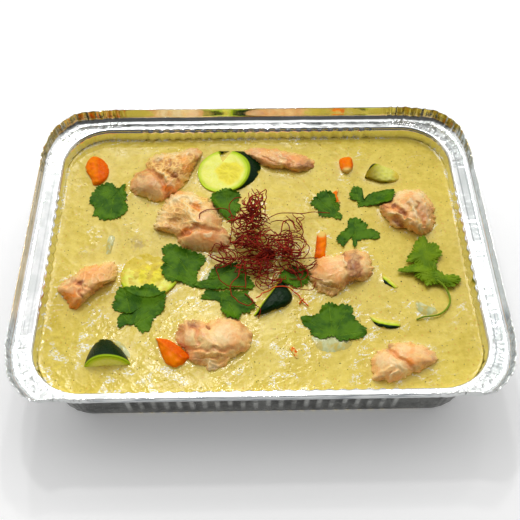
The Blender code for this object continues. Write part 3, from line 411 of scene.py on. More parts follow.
# Chilli threads: tufts (x, y, half sizes, lowest and highest, how many) and single strands
# (tone, radius, lowest and highest, route).
TUFTS = [
    (-4, 44, 6, 9, 15, 29, 21), (-6, 28, 10, 10, 9, 22, 30), (-5, 10, 14, 11, 5, 17, 38),
    (20, 5, 11, 10, 4, 13, 28), (-3, -10, 13, 8, 2, 9, 26), (6, -22, 7, 6, 2, 6, 8),
    (-24, -3, 8, 6, 2, 6, 8), (26, -13, 9, 7, 1, 7, 8), (22, 22, 10, 8, 2, 8, 6),
]
STRANDS = [
    (0.3, 0.34, 12, 3, [(-43, 30), (-42, 34), (-37, 37), (-28, 40), (-22, 38), (-19, 32), (-19.5, 22),
                        (-20, 10)]),
    (0.4, 0.34, 8, 3, [(4, 26), (8, 30), (15, 34), (24, 34.5), (32, 34), (40, 35.5), (52, 34.5)]),
    (0.4, 0.30, 6, 2, [(20, 32), (25, 26), (29, 20), (30, 26), (33, 30), (30, 34), (22, 34.5)]),
    (0.3, 0.36, 9, 4, [(18, 13), (24, 14), (30, 12), (35, 6), (35, 0), (31, -5), (24, -6)]),
    (1.0, 0.42, 3, 1, [(-3, -37.5), (2, -34), (8, -31.5), (14, -31), (20, -31.5), (25, -35), (28, -40),
                       (32, -45)]),
    (1.0, 0.48, 2, 1, [(29, -39), (27.5, -41), (26.5, -43)]),
    (0.8, 0.36, 6, 1, [(-11, -6), (-15, -19), (-20, -27), (-20, -34), (-17, -38), (-12, -42), (-8, -43.5),
                       (-5, -41),
                       (-7, -37), (-11, -34)]),
    (0.3, 0.34, 3, 1, [(-6, -38), (-3, -43), (-1, -48), (-0.5, -54)]),
    (0.5, 0.34, 5, 2, [(-24, -8), (-29, -12), (-28, -20), (-23, -27), (-17, -28.5), (-10, -28.5)]),
    (0.5, 0.34, 5, 3, [(-18, -6), (-26, -5), (-31, -3), (-34, 0), (-31, 5), (-27, 5), (-23, 0), (-17, 3)]),
    (0.2, 0.36, 9, 7, [(-30, -4.5), (-10, -5), (5, -6), (22, -7)]),
    (0.2, 0.34, 5, 4, [(28, -6), (36, -5.5), (41, -6)]),
    (0.5, 0.30, 4, 1, [(20, -8), (24, -17), (28, -26), (26, -31), (21, -29)]),
    (0.4, 0.30, 4, 2, [(22, -30), (29, -31.5), (35, -32), (38, -28)]),
    (0.4, 0.30, 6, 5, [(30, -10), (33, -17), (37, -23), (43, -26.5)]),
    (0.9, 0.36, 27, 12, [(2, 52), (4, 56), (5.5, 57), (6, 50), (5, 40), (5, 28)]),
    (0.7, 0.34, 20, 8, [(-12, 50), (-17, 49), (-21, 43), (-20, 34), (-18, 26)]),
    (0.8, 0.34, 8, 3, [(-10, -8), (-10, -18), (-10, -30)]),
    (0.6, 0.32, 9, 2, [(18, -12), (12, -20), (8, -26), (2, -28), (-2, -24)]),
]
THREAD_LENGTH = (18.0, 56.0)
THREAD_RADIUS = (0.32, 0.46)
THREAD_PLACES = 44
THREAD_SIDES = 5
NEST_TOP = 30.6
# The core under the threads: its half sizes, and its middle over the sauce.
CORE_HALF = (5.5, 4.5, 3.6)
CORE_PLACE = (6.0, -3.0, 1.5)

LEAF_THICKNESS = 0.2
TOOTH_PITCH = 3.1
CRUMBS = 900
CRUMB_SIZE = (0.18, 0.5)

# Lamps: name, place in metres, size and watts.
LAMPS = (
    ("softbox_top", (0.0, 0.25, 1.1), 0.9, 0.9),
    ("lamp_front", (-0.16, 0.50, 1.18), 0.07, 1.8),
    ("lamp_middle", (0.04, 0.80, 1.18), 0.07, 1.9),
    ("lamp_back", (-0.34, 1.13, 1.18), 0.08, 2.2),
    ("lamp_right", (0.44, 0.70, 1.18), 0.07, 0.5),
)
LAMPS_AIM = (0.0, 0.0, 0.04)
FLOOR_HALF = 3.0
WHITE = (1.0, 1.0, 1.0, 1.0)
FLOOR_GREY = (0.92, 0.92, 0.92, 1.0)
BEHIND_CAMERA = (0.10, 0.10, 0.10, 1.0)
CAMERA_PLACE = (-7.8056, -310.892, 479.798)
CAMERA_TURN = (34.80547, -0.30237, -1.13100)
CAMERA_LENS = 52.86


# ---------------------------------------------------------------- numbers and meshes


def smooth(value):
    """0 below 0, 1 above 1, with an even start and end between them."""
    held = np.clip(value, 0.0, 1.0)
    return held * held * (3.0 - 2.0 * held)


def ripples(points, period, seed, waves=14):
    """A smooth random field of mean 0 and spread 1: sine waves of about one period, each in a
    direction and with a phase of its own."""
    chance = np.random.default_rng(seed)
    directions = chance.normal(size=(waves, points.shape[-1]))
    directions /= np.linalg.norm(directions, axis=1)[:, None]
    numbers = 2 * math.pi / period * chance.uniform(0.65, 1.5, waves)
    phases = chance.uniform(0.0, 2 * math.pi, waves)
    return np.sin(points @ (directions * numbers[:, None]).T + phases).sum(axis=-1) / math.sqrt(waves / 2)


def ridges(points, period, seed):
    """Sharp crests and round hollows between 0 and 1: one minus the size of a random field."""
    return 1.0 - np.clip(np.abs(ripples(points, period, seed)), 0.0, 1.0)


def turned(points, degrees):
    """Points turned about Z."""
    c, s = math.cos(math.radians(degrees)), math.sin(math.radians(degrees))
    x, y = points[..., 0], points[..., 1]
    return np.stack((x * c - y * s, x * s + y * c, points[..., 2]), axis=-1)


def grid_faces(rows, columns, wrap, first=0):
    """Quads over points numbered row by row. With wrap the last column joins the first."""
    row = np.arange(rows - 1)[:, None] * columns
    column = np.arange(columns if wrap else columns - 1)[None, :]
    after = (column + 1) % columns
    corners = (row + column, row + after, row + columns + after, row + columns + column)
    return np.stack(corners, axis=-1).reshape(-1, 4) + first


def signed_volume(points, faces):
    """The volume that the faces hold, above 0 where they point outwards."""
    a, b, c = points[faces[:, 0]], points[faces[:, 1]], points[faces[:, 2]]
    total = np.einsum("ij,ij->i", a, np.cross(b, c)).sum()
    if faces.shape[1] == 4:
        d = points[faces[:, 3]]
        total += np.einsum("ij,ij->i", a, np.cross(c, d)).sum()
    return total / 6.0


def new_piece(name, points, face_sets, material, replaces=(), masks=None):
    """Writes a mesh from whole arrays and hands it to the frame. Masks are numbers on its points."""
    mesh = bpy.data.meshes.new(name)
    points = np.asarray(points, float).reshape(-1, 3)
    mesh.vertices.add(len(points))
    mesh.vertices.foreach_set("co", (points * MM + MOUTH_CENTRE).astype(np.float32).ravel())
    corners = np.concatenate([faces.ravel() for faces in face_sets])
    sizes = np.concatenate([np.full(len(faces), faces.shape[1]) for faces in face_sets])
    mesh.loops.add(len(corners))
    mesh.loops.foreach_set("vertex_index", corners.astype(np.int32))
    mesh.polygons.add(len(sizes))
    starts = np.concatenate(([0], np.cumsum(sizes)[:-1]))
    mesh.polygons.foreach_set("loop_start", starts.astype(np.int32))
    mesh.polygons.foreach_set("use_smooth", np.ones(len(sizes), bool))
    for mask, values in (masks or {}).items():
        values = np.asarray(values, np.float32)
        kind = "FLOAT" if values.ndim == 1 else "FLOAT_VECTOR"
        field = "value" if values.ndim == 1 else "vector"
        mesh.attributes.new(mask, kind, "POINT").data.foreach_set(field, values.ravel())
    mesh.update(calc_edges=True)
    mesh.validate()
    piece = bpy.data.objects.new(name, mesh)
    bpy.context.scene.collection.objects.link(piece)
    mesh.materials.append(material)
    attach(piece, "root")
    if replaces:
        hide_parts(*replaces)
    return piece


def thicken(piece, name, thickness):
    """Gives an open sheet its thickness, behind its faces."""
    sheet = piece.modifiers.new(name, "SOLIDIFY")
    sheet.thickness = thickness * MM
    sheet.offset = -1.0
    return sheet


def closed_skin(rings, first, last):
    """(points, faces) of a closed skin: rings of points between two poles, faces pointing out."""
    rows, columns = rings.shape[:2]
    points = np.concatenate((rings.reshape(-1, 3), [first], [last]))
    column = np.arange(columns)
    after = (column + 1) % columns
    top = (rows - 1) * columns
    fans = np.concatenate(
        (
            np.stack((np.full(columns, rows * columns), after, column), axis=-1),
            np.stack((np.full(columns, rows * columns + 1), top + column, top + after), axis=-1),
        )
    )
    quads = grid_faces(rows, columns, True)
    if signed_volume(points, quads) < 0:
        quads, fans = quads[:, ::-1], fans[:, ::-1]
    return points, [quads, fans]


def tubes(paths, radius, sides):
    """(points, faces) of round rods along paths, an array (rod, place, xyz), closed at both ends
    with a fan. Each section lies across its path, turned from a fixed upright."""
    ahead = np.gradient(paths, axis=1)
    ahead /= np.linalg.norm(ahead, axis=2)[..., None] + 1e-9
    upright = np.zeros_like(ahead)
    upright[..., 2] = 1.0
    across = np.cross(ahead, upright)
    across /= np.linalg.norm(across, axis=2)[..., None] + 1e-9
    above = np.cross(across, ahead)
    angle = 2 * math.pi * np.arange(sides) / sides
    size = np.broadcast_to(radius, paths.shape[:2])[..., None, None]
    ring = across[:, :, None] * np.cos(angle)[:, None] + above[:, :, None] * np.sin(angle)[:, None]
    rings = paths[:, :, None] + ring * size
    rods, places = paths.shape[:2]
    each = places * sides + 2
    points = np.concatenate((rings.reshape(rods, -1, 3), paths[:, :1], paths[:, -1:]), axis=1)
    _, one = closed_skin(rings[0], paths[0, 0], paths[0, -1])
    shift = (np.arange(rods) * each)[:, None, None]
    return points.reshape(-1, 3), [(faces[None] + shift).reshape(-1, faces.shape[1]) for faces in one]


class HeightMap:
    """Heights over the tray on a square grid, which pieces are laid on and looked up from."""

    STEP = 0.8

    def __init__(self, floor_height):
        self.x = np.arange(-150.0, 150.0, self.STEP)
        self.y = np.arange(-115.0, 115.0, self.STEP)
        gx, gy = np.meshgrid(self.x, self.y, indexing="ij")
        self.grid = floor_height(gx, gy)

    def add(self, points):
        """Raises the grid to a piece's points."""
        column = np.clip(np.rint((points[:, 0] - self.x[0]) / self.STEP).astype(int), 0, len(self.x) - 1)
        row = np.clip(np.rint((points[:, 1] - self.y[0]) / self.STEP).astype(int), 0, len(self.y) - 1)
        np.maximum.at(self.grid, (column, row), points[:, 2])

    def at(self, x, y, grid=None):
        """The height at places between the grid's points."""
        grid = self.grid if grid is None else grid
        u = np.clip((x - self.x[0]) / self.STEP, 0, len(self.x) - 1.001)
        v = np.clip((y - self.y[0]) / self.STEP, 0, len(self.y) - 1.001)
        i, j = u.astype(int), v.astype(int)
        s, t = u - i, v - j
        low = grid[i, j] * (1 - s) + grid[i + 1, j] * s
        high = grid[i, j + 1] * (1 - s) + grid[i + 1, j + 1] * s
        return low * (1 - t) + high * t


def spread_out(grid, rounds):
    """Each point takes the highest of its neighbours, several times over."""
    for _ in range(rounds):
        padded = np.pad(grid, 1, mode="edge")
        grid = np.maximum.reduce(
            [padded[1:-1, 1:-1], padded[:-2, 1:-1], padded[2:, 1:-1], padded[1:-1, :-2], padded[1:-1, 2:]]
        )
    return grid


def blurred(grid, rounds):
    """Each point takes the mean of itself and its neighbours, several times over."""
    for _ in range(rounds):
        padded = np.pad(grid, 1, mode="edge")
        rows = padded[:-2] + 2 * padded[1:-1] + padded[2:]
        grid = (rows[:, :-2] + 2 * rows[:, 1:-1] + rows[:, 2:]) / 16.0
    return grid


# ---------------------------------------------------------------- materials


class Value:
    """A socket of a shader tree, with arithmetic that adds Math nodes."""

    def __init__(self, tree, socket):
        self.tree = tree
        self.socket = socket

    def _math(self, operation, a, b):
        return self.tree.node("ShaderNodeMath", {"operation": operation}, {0: a, 1: b})

    def __add__(self, other):
        return self._math("ADD", self, other)

    __radd__ = __add__

    def __mul__(self, other):
        return self._math("MULTIPLY", self, other)

    __rmul__ = __mul__

    def __sub__(self, other):
        return self._math("SUBTRACT", self, other)

    def __rsub__(self, other):
        return self._math("SUBTRACT", other, self)

    def between(self, low, high):
        """0 at low, 1 at high, with an even start and end."""
        settings = {"interpolation_type": "SMOOTHSTEP"}
        return self.tree.node("ShaderNodeMapRange", settings, {0: self, 1: low, 2: high, 3: 0.0, 4: 1.0})


class Tree:
    """A shader tree and the one method that adds its nodes."""

    def __init__(self, node_tree):
        self.nodes, self.links = node_tree.nodes, node_tree.links

    def node(self, kind, settings, sockets, output=0):
        """Adds a node: its settings first, then a value or a link for each socket."""
        made = self.nodes.new(kind)
        for setting, value in settings.items():
            if setting == "stops":
                for element, (place, colour) in zip(made.color_ramp.elements, value):
                    element.position, element.color = place, colour
            else:
                setattr(made, setting, value)
        for socket, value in sockets.items():
            self.set(made.inputs[socket], value)
        return Value(self, made.outputs[output])

    def set(self, socket, value):
        """Links a value of the tree to a socket, or gives the socket a number or colour."""
        if isinstance(value, Value):
            self.links.new(value.socket, socket)
        else:
            socket.default_value = value


class Kit(Tree):
    """One material on a Principled shader, and the ways to make its patterns."""

    def __init__(self, name, **constants):
        self.material = bpy.data.materials.new(name)
        self.material.use_nodes = True
        super().__init__(self.material.node_tree)
        self.shader = self.nodes["Principled BSDF"]
        self.place = self.node("ShaderNodeTexCoord", {}, {}, "Object")
        self.finish(**constants)

    def finish(self, **sockets):
        """Sets or links the shader's sockets, and gives the material."""
        for socket, value in sockets.items():
            self.set(self.shader.inputs[socket.replace("_", " ")], value)
        return self.material

    def scaled(self, factor):
        """Object coordinates in millimetres, times a factor."""
        factors = tuple(f / MM for f in factor) if isinstance(factor, tuple) else (factor / MM,) * 3
        return self.node("ShaderNodeVectorMath", {"operation": "MULTIPLY"}, {0: self.place, 1: factors})

    def noise(self, period, detail=3.0, roughness=0.55, vector=None):
        """Cloudy noise of a period in millimetres, about 0.5 in the middle. A vector of its own
        takes the period's place."""
        vector = self.scaled(1.0 / period) if vector is None else vector
        sockets = {"Vector": vector, "Scale": 1.0, "Detail": detail, "Roughness": roughness}
        return self.node("ShaderNodeTexNoise", {}, sockets)

    def cells(self, period):
        """Distance to the nearest of scattered points, a period in millimetres apart."""
        sockets = {"Vector": self.scaled(1.0 / period), "Scale": 1.0}
        return self.node("ShaderNodeTexVoronoi", {"feature": "F1"}, sockets)

    def masks(self, *names):
        """Numbers that were put on the mesh's points, by name."""
        return [self.node("ShaderNodeAttribute", {"attribute_name": name}, {}, "Fac") for name in names]

    def mix(self, first, second, share):
        """A colour between two, by a share. Colours are values, or 0 to 255 as a display shows them."""
        first, second = (tone if isinstance(tone, Value) else linear(tone) for tone in (first, second))
        return self.node("ShaderNodeMix", {"data_type": "RGBA"}, {0: share, 6: first, 7: second}, 2)

    def coats(self, colour, *layers):
        """A colour under layers of others, each with its share."""
        for tone, share in layers:
            colour = self.mix(colour, tone, share)
        return colour

    def bump(self, height, distance, normal=None):
        """A normal from a height. The distance is in millimetres for a height of 1."""
        sockets = {"Height": height, "Distance": distance * MM, "Strength": 1.0}
        if normal is not None:
            sockets["Normal"] = normal
        return self.node("ShaderNodeBump", {}, sockets)


def linear(colour):
    """A colour given as a display shows it, 0 to 255 each, in the shader's linear numbers."""
    share = np.array(colour, float) / 255.0
    return (*np.where(share <= 0.04045, share / 12.92, ((share + 0.055) / 1.055) ** 2.4), 1.0)


def sauce_colour(kit):
    """The sauce: slow changes of tone, with orange, brown and dark green specks."""
    slow = kit.noise(26.0, 2.0).between(0.35, 0.65)
    fine = kit.noise(2.2, 4.0, 0.7).between(0.3, 0.7)
    blotch = kit.noise(7.0, 3.0, 0.6).between(0.38, 0.62)
    orange = kit.noise(1.9, 1.0).between(0.66, 0.74)
    green = kit.noise(1.6, 2.0, 0.6).between(0.69, 0.75)
    brown = kit.cells(6.5).between(0.085, 0.045)
    return kit.coats(
        kit.mix((219, 192, 57), (233, 209, 76), slow),
        (kit.mix((205, 177, 46), (244, 217, 96), fine), 0.4),
        (kit.mix((207, 183, 52), (247, 225, 106), blotch), 0.3),
        ((222, 158, 50), orange * 0.7),
        ((122, 112, 44), green * 0.75),
        ((112, 86, 44), brown * 0.8),
    )


def sauce_material():
    """Glossy sauce: a fine grain, knobs where it was stirred, a brown stain over sunk meat, and a
    painted sheen that breaks into small white curls of painted glints."""
    kit = Kit("curry_sauce", Roughness=0.3, IOR=1.45, Specular_IOR_Level=0.45)
    film, stirred, stain, painted_sheen = kit.masks("film", "stirred", "stain", "painted_sheen")
    curl = kit.noise(1.0, 2.0, 0.6, kit.scaled((0.36, 0.5, 0.42)))
    broken = kit.noise(1.0, 1.0, 0.5, kit.scaled((0.9, 1.1, 1.0))).between(0.40, 0.50)
    # Painted glints: small near-white curls, shown where the painted sheen is strong.
    glint = curl.between(0.43, 0.47) * (1 - curl.between(0.52, 0.57)) * broken
    colour = kit.coats(
        sauce_colour(kit),
        (SAUCE_PALE, film * 0.55),
        ((150, 118, 66), stain * 0.55),
        # A pale painted sheen, then the painted glints on it.
        ((248, 232, 140), painted_sheen.between(0.0, 0.6) * 0.2),
        ((255, 254, 244), glint * painted_sheen.between(0.2, 0.6)),
    )
    grain = kit.noise(1.2, 2.0, 0.6)
    knobs = kit.noise(3.2, 2.0, 0.5) * (stirred * 0.9 + 0.1)
    swell = kit.noise(7.0, 2.0, 0.5) * (stirred * 0.8 + 0.2)
    normal = kit.bump(grain, 0.05, kit.bump(knobs, 0.34, kit.bump(swell, 0.34)))
    rough = kit.noise(6.0).between(0.3, 0.7) * 0.08 + (1 - stirred) * 0.26 + 0.07
    return kit.finish(Base_Color=colour, Normal=normal, Roughness=rough)


def chicken_material():
    """Pink flesh, golden skin, cream painted highlights on crests, painted shade in hollows, and sauce that
    clings low down.
    """
    kit = Kit("chicken", Roughness=0.3, Specular_IOR_Level=0.34)
    relief, skin, warm, dark, light, film = kit.masks("relief", "skin", "warm", "dark", "pale", "film")
    cloudy = kit.noise(7.0, 3.0, 0.6).between(0.35, 0.65)
    fine = kit.noise(1.8, 4.0, 0.65).between(0.35, 0.65)
    streak = kit.noise(2.4, 3.0, 0.6, kit.scaled((0.5, 0.14, 0.3))).between(0.5, 0.72)
    blush = kit.noise(11.0, 2.0, 0.5).between(0.5, 0.68)
    # Painted glints: near-white flecks on the crests of the relief.
    wet = kit.noise(1.7, 2.0, 0.6).between(0.6, 0.68) * relief.between(0.5, 0.7)
    flesh = kit.mix((255, 216, 142), (255, 184, 108), cloudy)
    # Painted highlights: flesh and skin both turn paler on the crests of the relief.
    flesh = kit.mix(flesh, (255, 232, 180), relief.between(0.5, 0.85) * 0.75)
    golden = kit.mix((248, 190, 100), (255, 212, 122), fine)
    golden = kit.mix(golden, (255, 238, 180), relief.between(0.54, 1.0) * 0.7)
    # Painted shade: a darker tone in the hollows of the relief.
    pit_shade = kit.mix((214, 112, 64), (184, 108, 40), skin)
    colour = kit.coats(
        kit.mix(flesh, golden, skin),
        (pit_shade, relief.between(0.42, 0.1) * (skin * 0.3 + 0.4)),
        ((206, 128, 84), streak * (1 - skin) * 0.25),
        ((232, 144, 104), blush * (1 - skin) * 0.4),
        ((255, 142, 32), warm * 0.95),
        # Dark spots are browned meat and painted shade in creases and hollows; pale spots are cream skin and
        # painted highlights on crests and bumps.
        ((142, 68, 40), dark * 0.8),
        ((255, 230, 172), light * 0.75),
        ((255, 244, 206), wet * 0.6),
        (sauce_colour(kit), film),
    )
    normal = kit.bump(kit.noise(1.4, 3.0, 0.55), 0.12, kit.bump(kit.noise(4.0, 3.0), 0.4))
    return kit.finish(Base_Color=colour, Roughness=fine * 0.16 + 0.18, Normal=normal)


def zucchini_material():
    """Pale flesh with a seedy middle, a bright green rim, an olive tint carrying painted shade, and a dark,
    faintly flecked skin.
    """
    kit = Kit("zucchini", Roughness=0.3, Specular_IOR_Level=0.08)
    skin, rim, middle, seed, film, olive_shade = kit.masks("skin", "rim", "middle", "seed", "film", "olive_shade")
    fine = kit.noise(1.5, 3.0, 0.6).between(0.35, 0.65)
    flecks = kit.noise(1.3, 3.0, 0.7).between(0.56, 0.7)
    colour = kit.coats(
        kit.mix((250, 252, 108), (255, 255, 140), fine),
        ((252, 238, 72), middle),
        ((228, 206, 52), seed * 0.5),
        ((208, 232, 44), rim.between(0.0, 0.75)),
        ((168, 198, 22), rim.between(0.75, 1.0)),
        # Olive tint with painted shade: strongest towards the left and the bottom of a piece.
        ((142, 122, 8), olive_shade),
        (kit.mix((12, 38, 12), (28, 62, 20), flecks), skin),
        (sauce_colour(kit), film),
    )
    normal = kit.bump(kit.noise(1.2, 3.0, 0.6), 0.12)
    return kit.finish(Base_Color=colour, Roughness=skin * 0.06 + fine * 0.08 + 0.2, Normal=normal)


def carrot_material():
    """Orange, brighter on the lit side of a piece, with fine fibres and a film of sauce."""
    kit = Kit("carrot", Roughness=0.3, Specular_IOR_Level=0.05)
    film, light = kit.masks("film", "light")
    cloudy = kit.noise(6.0, 3.0).between(0.35, 0.65)
    fibre = kit.noise(1.4, 3.0, 0.6).between(0.4, 0.65)
    bright = kit.mix((255, 134, 2), (252, 114, 2), cloudy)
    colour = kit.mix((236, 94, 4), bright, light)
    colour = kit.coats(colour, ((255, 138, 8), fibre * 0.35), (SAUCE_PALE, film))
    normal = kit.bump(kit.noise(1.2, 3.0, 0.6), 0.06)
    return kit.finish(Base_Color=colour, Roughness=fibre * 0.15 + 0.2, Normal=normal)


def onion_material():
    """Wet, slightly clear onion with faint clouds, and sauce over its edge."""
    kit = Kit("onion", Roughness=0.16, Specular_IOR_Level=0.3, Alpha=0.85)
    (film,) = kit.masks("film")
    colour = kit.mix((196, 202, 138), (228, 230, 172), kit.noise(5.0, 2.0, 0.5).between(0.35, 0.65))
    colour = kit.mix(colour, SAUCE, film * 0.8)
    return kit.finish(Base_Color=colour, Normal=kit.bump(kit.noise(2.0, 2.0), 0.06))


def leaf_material(name, dark, light, vein_tone):
    """A leaf blade: two greens in soft clouds, paler veins, a fine grain and a dull sheen."""
    kit = Kit(name, Roughness=0.5, Specular_IOR_Level=0.1)
    (vein,) = kit.masks("vein")
    cloudy = kit.noise(9.0, 3.0, 0.55).between(0.35, 0.65)
    fine = kit.noise(1.0, 3.0, 0.6).between(0.35, 0.7)
    colour = kit.coats(dark, (light, cloudy), (light, fine * 0.3), (vein_tone, vein * 0.5))
    grain = kit.noise(1.3, 3.0, 0.6) * 0.5 - vein * 0.6
    return kit.finish(Base_Color=colour, Roughness=fine * 0.15 + 0.42, Normal=kit.bump(grain, 0.22))


def chilli_material():
    """Dried chilli, from dark to brighter red by the thread, and orange on a few fresh ones."""
    kit = Kit("chilli_threads", Roughness=0.5, Specular_IOR_Level=0.15)
    (tone,) = kit.masks("tone")
    colour = kit.coats((118, 16, 8), ((176, 44, 16), tone), ((226, 70, 16), tone.between(0.9, 0.97)))
    rough = kit.noise(1.0).between(0.3, 0.7) * 0.2 + 0.4
    return kit.finish(Base_Color=colour, Roughness=rough, Normal=kit.bump(kit.noise(0.6, 2.0), 0.1))


def crumb_material():
    """Brown, green or orange by the crumb."""
    kit = Kit("crumbs", Roughness=0.5, Specular_IOR_Level=0.2)
    (tone,) = kit.masks("tone")
    green, orange = ((60, 92, 34), tone.between(0.3, 0.34)), ((214, 140, 46), tone.between(0.62, 0.66))
    colour = kit.coats((92, 70, 30), green, orange)
    return kit.finish(Base_Color=colour, Normal=kit.bump(kit.noise(0.7), 0.1))


def inside_material():
    """The inside of the wall: bright foil with a soft grain and small dents."""
    kit = Kit("foil", Metallic=1.0, Base_Color=linear((236, 238, 242)))
    grain = kit.noise(0.8, 2.0, 0.5)
    normal = kit.bump(grain, 0.015, kit.bump(kit.noise(9.0, 2.0, 0.45), 0.25))
    return kit.finish(Roughness=grain.between(0.3, 0.7) * 0.08 + 0.10, Normal=normal)


def outside_material():
    """The outside of the wall: dull, painted dark as a painted reflection of dark surroundings and shade,
    with a painted highlight band along each flute.
    """
    kit = Kit("foil_outside", Metallic=1.0)
    (painted_flute_highlight,) = kit.masks("painted_flute_highlight")
    broken = kit.noise(11.0, 2.0, 0.5).between(0.35, 0.6)
    # Painted dark tone: a painted reflection of dark surroundings, and shade.
    dull = kit.mix((62, 63, 58), (112, 113, 108), kit.noise(16.0, 2.0, 0.5).between(0.4, 0.65))
    # Painted highlight bands along the flutes, broken up.
    colour = kit.mix(dull, (206, 207, 202), painted_flute_highlight * (broken * 0.7 + 0.3))
    rough = kit.noise(3.0, 2.0).between(0.3, 0.7) * 0.1 + 0.26
    return kit.finish(Base_Color=colour, Roughness=rough, Normal=kit.bump(kit.noise(9.0, 2.0, 0.45), 0.2))


def rim_material():
    """The rim's foil: fine scratches at the corners, grey lines of painted shade in the grooves along
    the ends, painted shade that makes the front and the right a little darker, thin lines along
    the front, painted shade along the crease lines at the corners, a warm painted reflection of the
    curry on the rear lip, on the left and in streaks where it is folded, and dark lines of painted
    shade in the lip's folds. `across` is 0 at the mouth, 1 at the foot of the lip and 2 at its top,
    and `run` is the distance round."""
    kit = Kit("foil_rim", Metallic=1.0)
    names = ("across", "run", "crinkled", "left", "right", "rear")
    across, run, crinkled, left, right, rear = kit.masks(*names)
    front = 1 - rear

    def marks(rate, deep, roughness=0.5):
        """Noise by how fast it changes along the rim and across it."""
        place = kit.node("ShaderNodeCombineXYZ", {}, {0: run * rate, 1: across * deep}, "Vector")
        return kit.noise(1.0, 2.0, roughness, place)

    def band(rise, fall):
        """A stripe along the rim, by where it starts and where it ends."""
        return across.between(*rise) * (1 - across.between(*fall))

    streak, thin = marks(0.42, 0.8, 0.6), marks(1.3, 0.8, 0.6)
    dashes, hatching, long = marks(0.62, 3.0), marks(0.3, 7.0), marks(0.06, 9.0)
    lip = across.between(1.12, 1.3)
    folded_lip = lip * crinkled
    flat = band((0.06, 0.2), (0.9, 1.02)) * crinkled * crinkled
    scratch = dashes.between(0.53, 0.6) * flat
    creased = thin.between(0.55, 0.68) * crinkled * across.between(0.05, 0.3)
    groove, second = band((0.26, 0.30), (0.33, 0.38)), band((0.62, 0.66), (0.68, 0.74))
    line = band((0.44, 0.5), (0.54, 0.6)) + across.between(0.8, 0.86)
    colour = kit.coats(
        kit.mix((240, 241, 240), (225, 228, 226), kit.noise(14.0, 2.0).between(0.4, 0.6)),
        # Painted shade: the front a little darker.
        ((218, 221, 220), front * 0.6),
        ((84, 86, 82), scratch * (0.75 - front * 0.4)),
        ((120, 124, 120), hatching.between(0.55, 0.63) * flat * 0.5),
        # Painted shade along the crease lines at the corners.
        ((150, 150, 132), creased * (0.6 - front * 0.25)),
        # Painted shade in the grooves along the ends, stronger on the right.
        ((150, 154, 154), groove * (right * 0.8 + left * 0.25)),
        ((176, 182, 180), second * (right * 0.7 + left * 0.3)),
        # Painted shade: the right flange a little darker.
        ((176, 184, 182), right * band((0.2, 0.4), (0.9, 1.05)) * 0.4),
        ((134, 142, 150), line * front * long.between(0.46, 0.6) * (1 - crinkled) * 0.8),
        # Painted reflection of the curry: warm tones on the rear lip.
        ((196, 170, 110), lip * left * rear * 0.75),
        ((168, 154, 84), streak.between(0.44, 0.56) * folded_lip * rear * 0.85),
        ((206, 128, 62), streak.between(0.6, 0.7) * folded_lip * rear * 0.7),
        # Painted shade: dark lines in the lip's folds.
        ((70, 70, 62), thin.between(0.58, 0.66) * folded_lip * front * 0.6),
        ((50, 48, 40), thin.between(0.6, 0.7) * across.between(0.95, 1.15) * crinkled * 0.8),
    )
    grain = kit.noise(0.9, 3.0, 0.6) * crinkled
    normal = kit.bump(grain, 0.12, kit.bump(kit.noise(9.0, 2.0, 0.45), 0.25))
    return kit.finish(Base_Color=colour, Roughness=scratch * 0.15 + 0.12, Normal=normal)


# ---------------------------------------------------------------- the tray


def rim_value(values, outward):
    """A rim size at a place whose outward direction is given, easing from a side's to a corner's."""
    span = 1.0 - CORNER_FROM
    corner = values["corner"]
    size = corner + (values["end"] - corner) * smooth((np.abs(outward[:, 0]) - CORNER_FROM) / span)
    size = size + (values["front"] - corner) * smooth((-outward[:, 1] - CORNER_FROM) / span)
    return size + (values["back"] - corner) * smooth((outward[:, 1] - CORNER_FROM) / span)


def mouth_path(count):
    """Once round the mouth at even steps: points, outward directions, the place along the straight
    side from its middle, the share of the corner's turn, which side it is and the distance run."""
    straight = np.array([2 * (MOUTH_HALF[side % 2] - CORNER_RADIUS) for side in range(4)])
    arc = math.pi / 2 * CORNER_RADIUS
    starts = np.concatenate(([0.0], np.cumsum(straight + arc)))
    run = np.linspace(0.0, starts[-1], count, endpoint=False)
    side = np.searchsorted(starts, run, side="right") - 1
    local = run - starts[side]
    turn = math.pi / 2 * side
    normal = np.column_stack((np.sin(turn), -np.cos(turn)))
    along = np.column_stack((np.cos(turn), np.sin(turn)))
    reach = MOUTH_HALF[1 - side % 2]
    length = straight[side]
    share = np.clip((local - length) / arc, 0.0, 1.0)
    angle = share * math.pi / 2
    outward = normal * np.cos(angle)[:, None] + along * np.sin(angle)[:, None]
    place = np.clip(local, 0.0, length) - length / 2
    middle = along * place[:, None] + normal * (reach - CORNER_RADIUS)[:, None]
    return middle + outward * CORNER_RADIUS, outward, place, share, side, run


def flute_wave(place, share, side):
    """The flutes' in and out, from -1 to 1, fading where a side's flutes end."""
    half = FLUTES[side] * FLUTE_PITCH / 2
    inside = smooth((half - np.abs(place)) / 3.0) * (share <= 0.0)
    return -np.cos(2 * math.pi * (place + half) / FLUTE_PITCH) * inside


def folds(run, total, spacing, seed):
    """Sharp folds of uneven width and depth round the rim: straight lines between random heights."""
    chance = np.random.default_rng(seed)
    steps = chance.uniform(0.5, 1.5, int(total / spacing))
    knots = np.cumsum(steps) * total / steps.sum()
    heights = chance.uniform(0.3, 1.0, len(knots)) * np.where(np.arange(len(knots)) % 2 == 0, 1.0, -1.0)
    knots = np.concatenate(([0.0], knots[:-1], [total]))
    heights = np.concatenate(([0.0], heights[:-1], [0.0]))
    return np.interp(run, knots, heights)


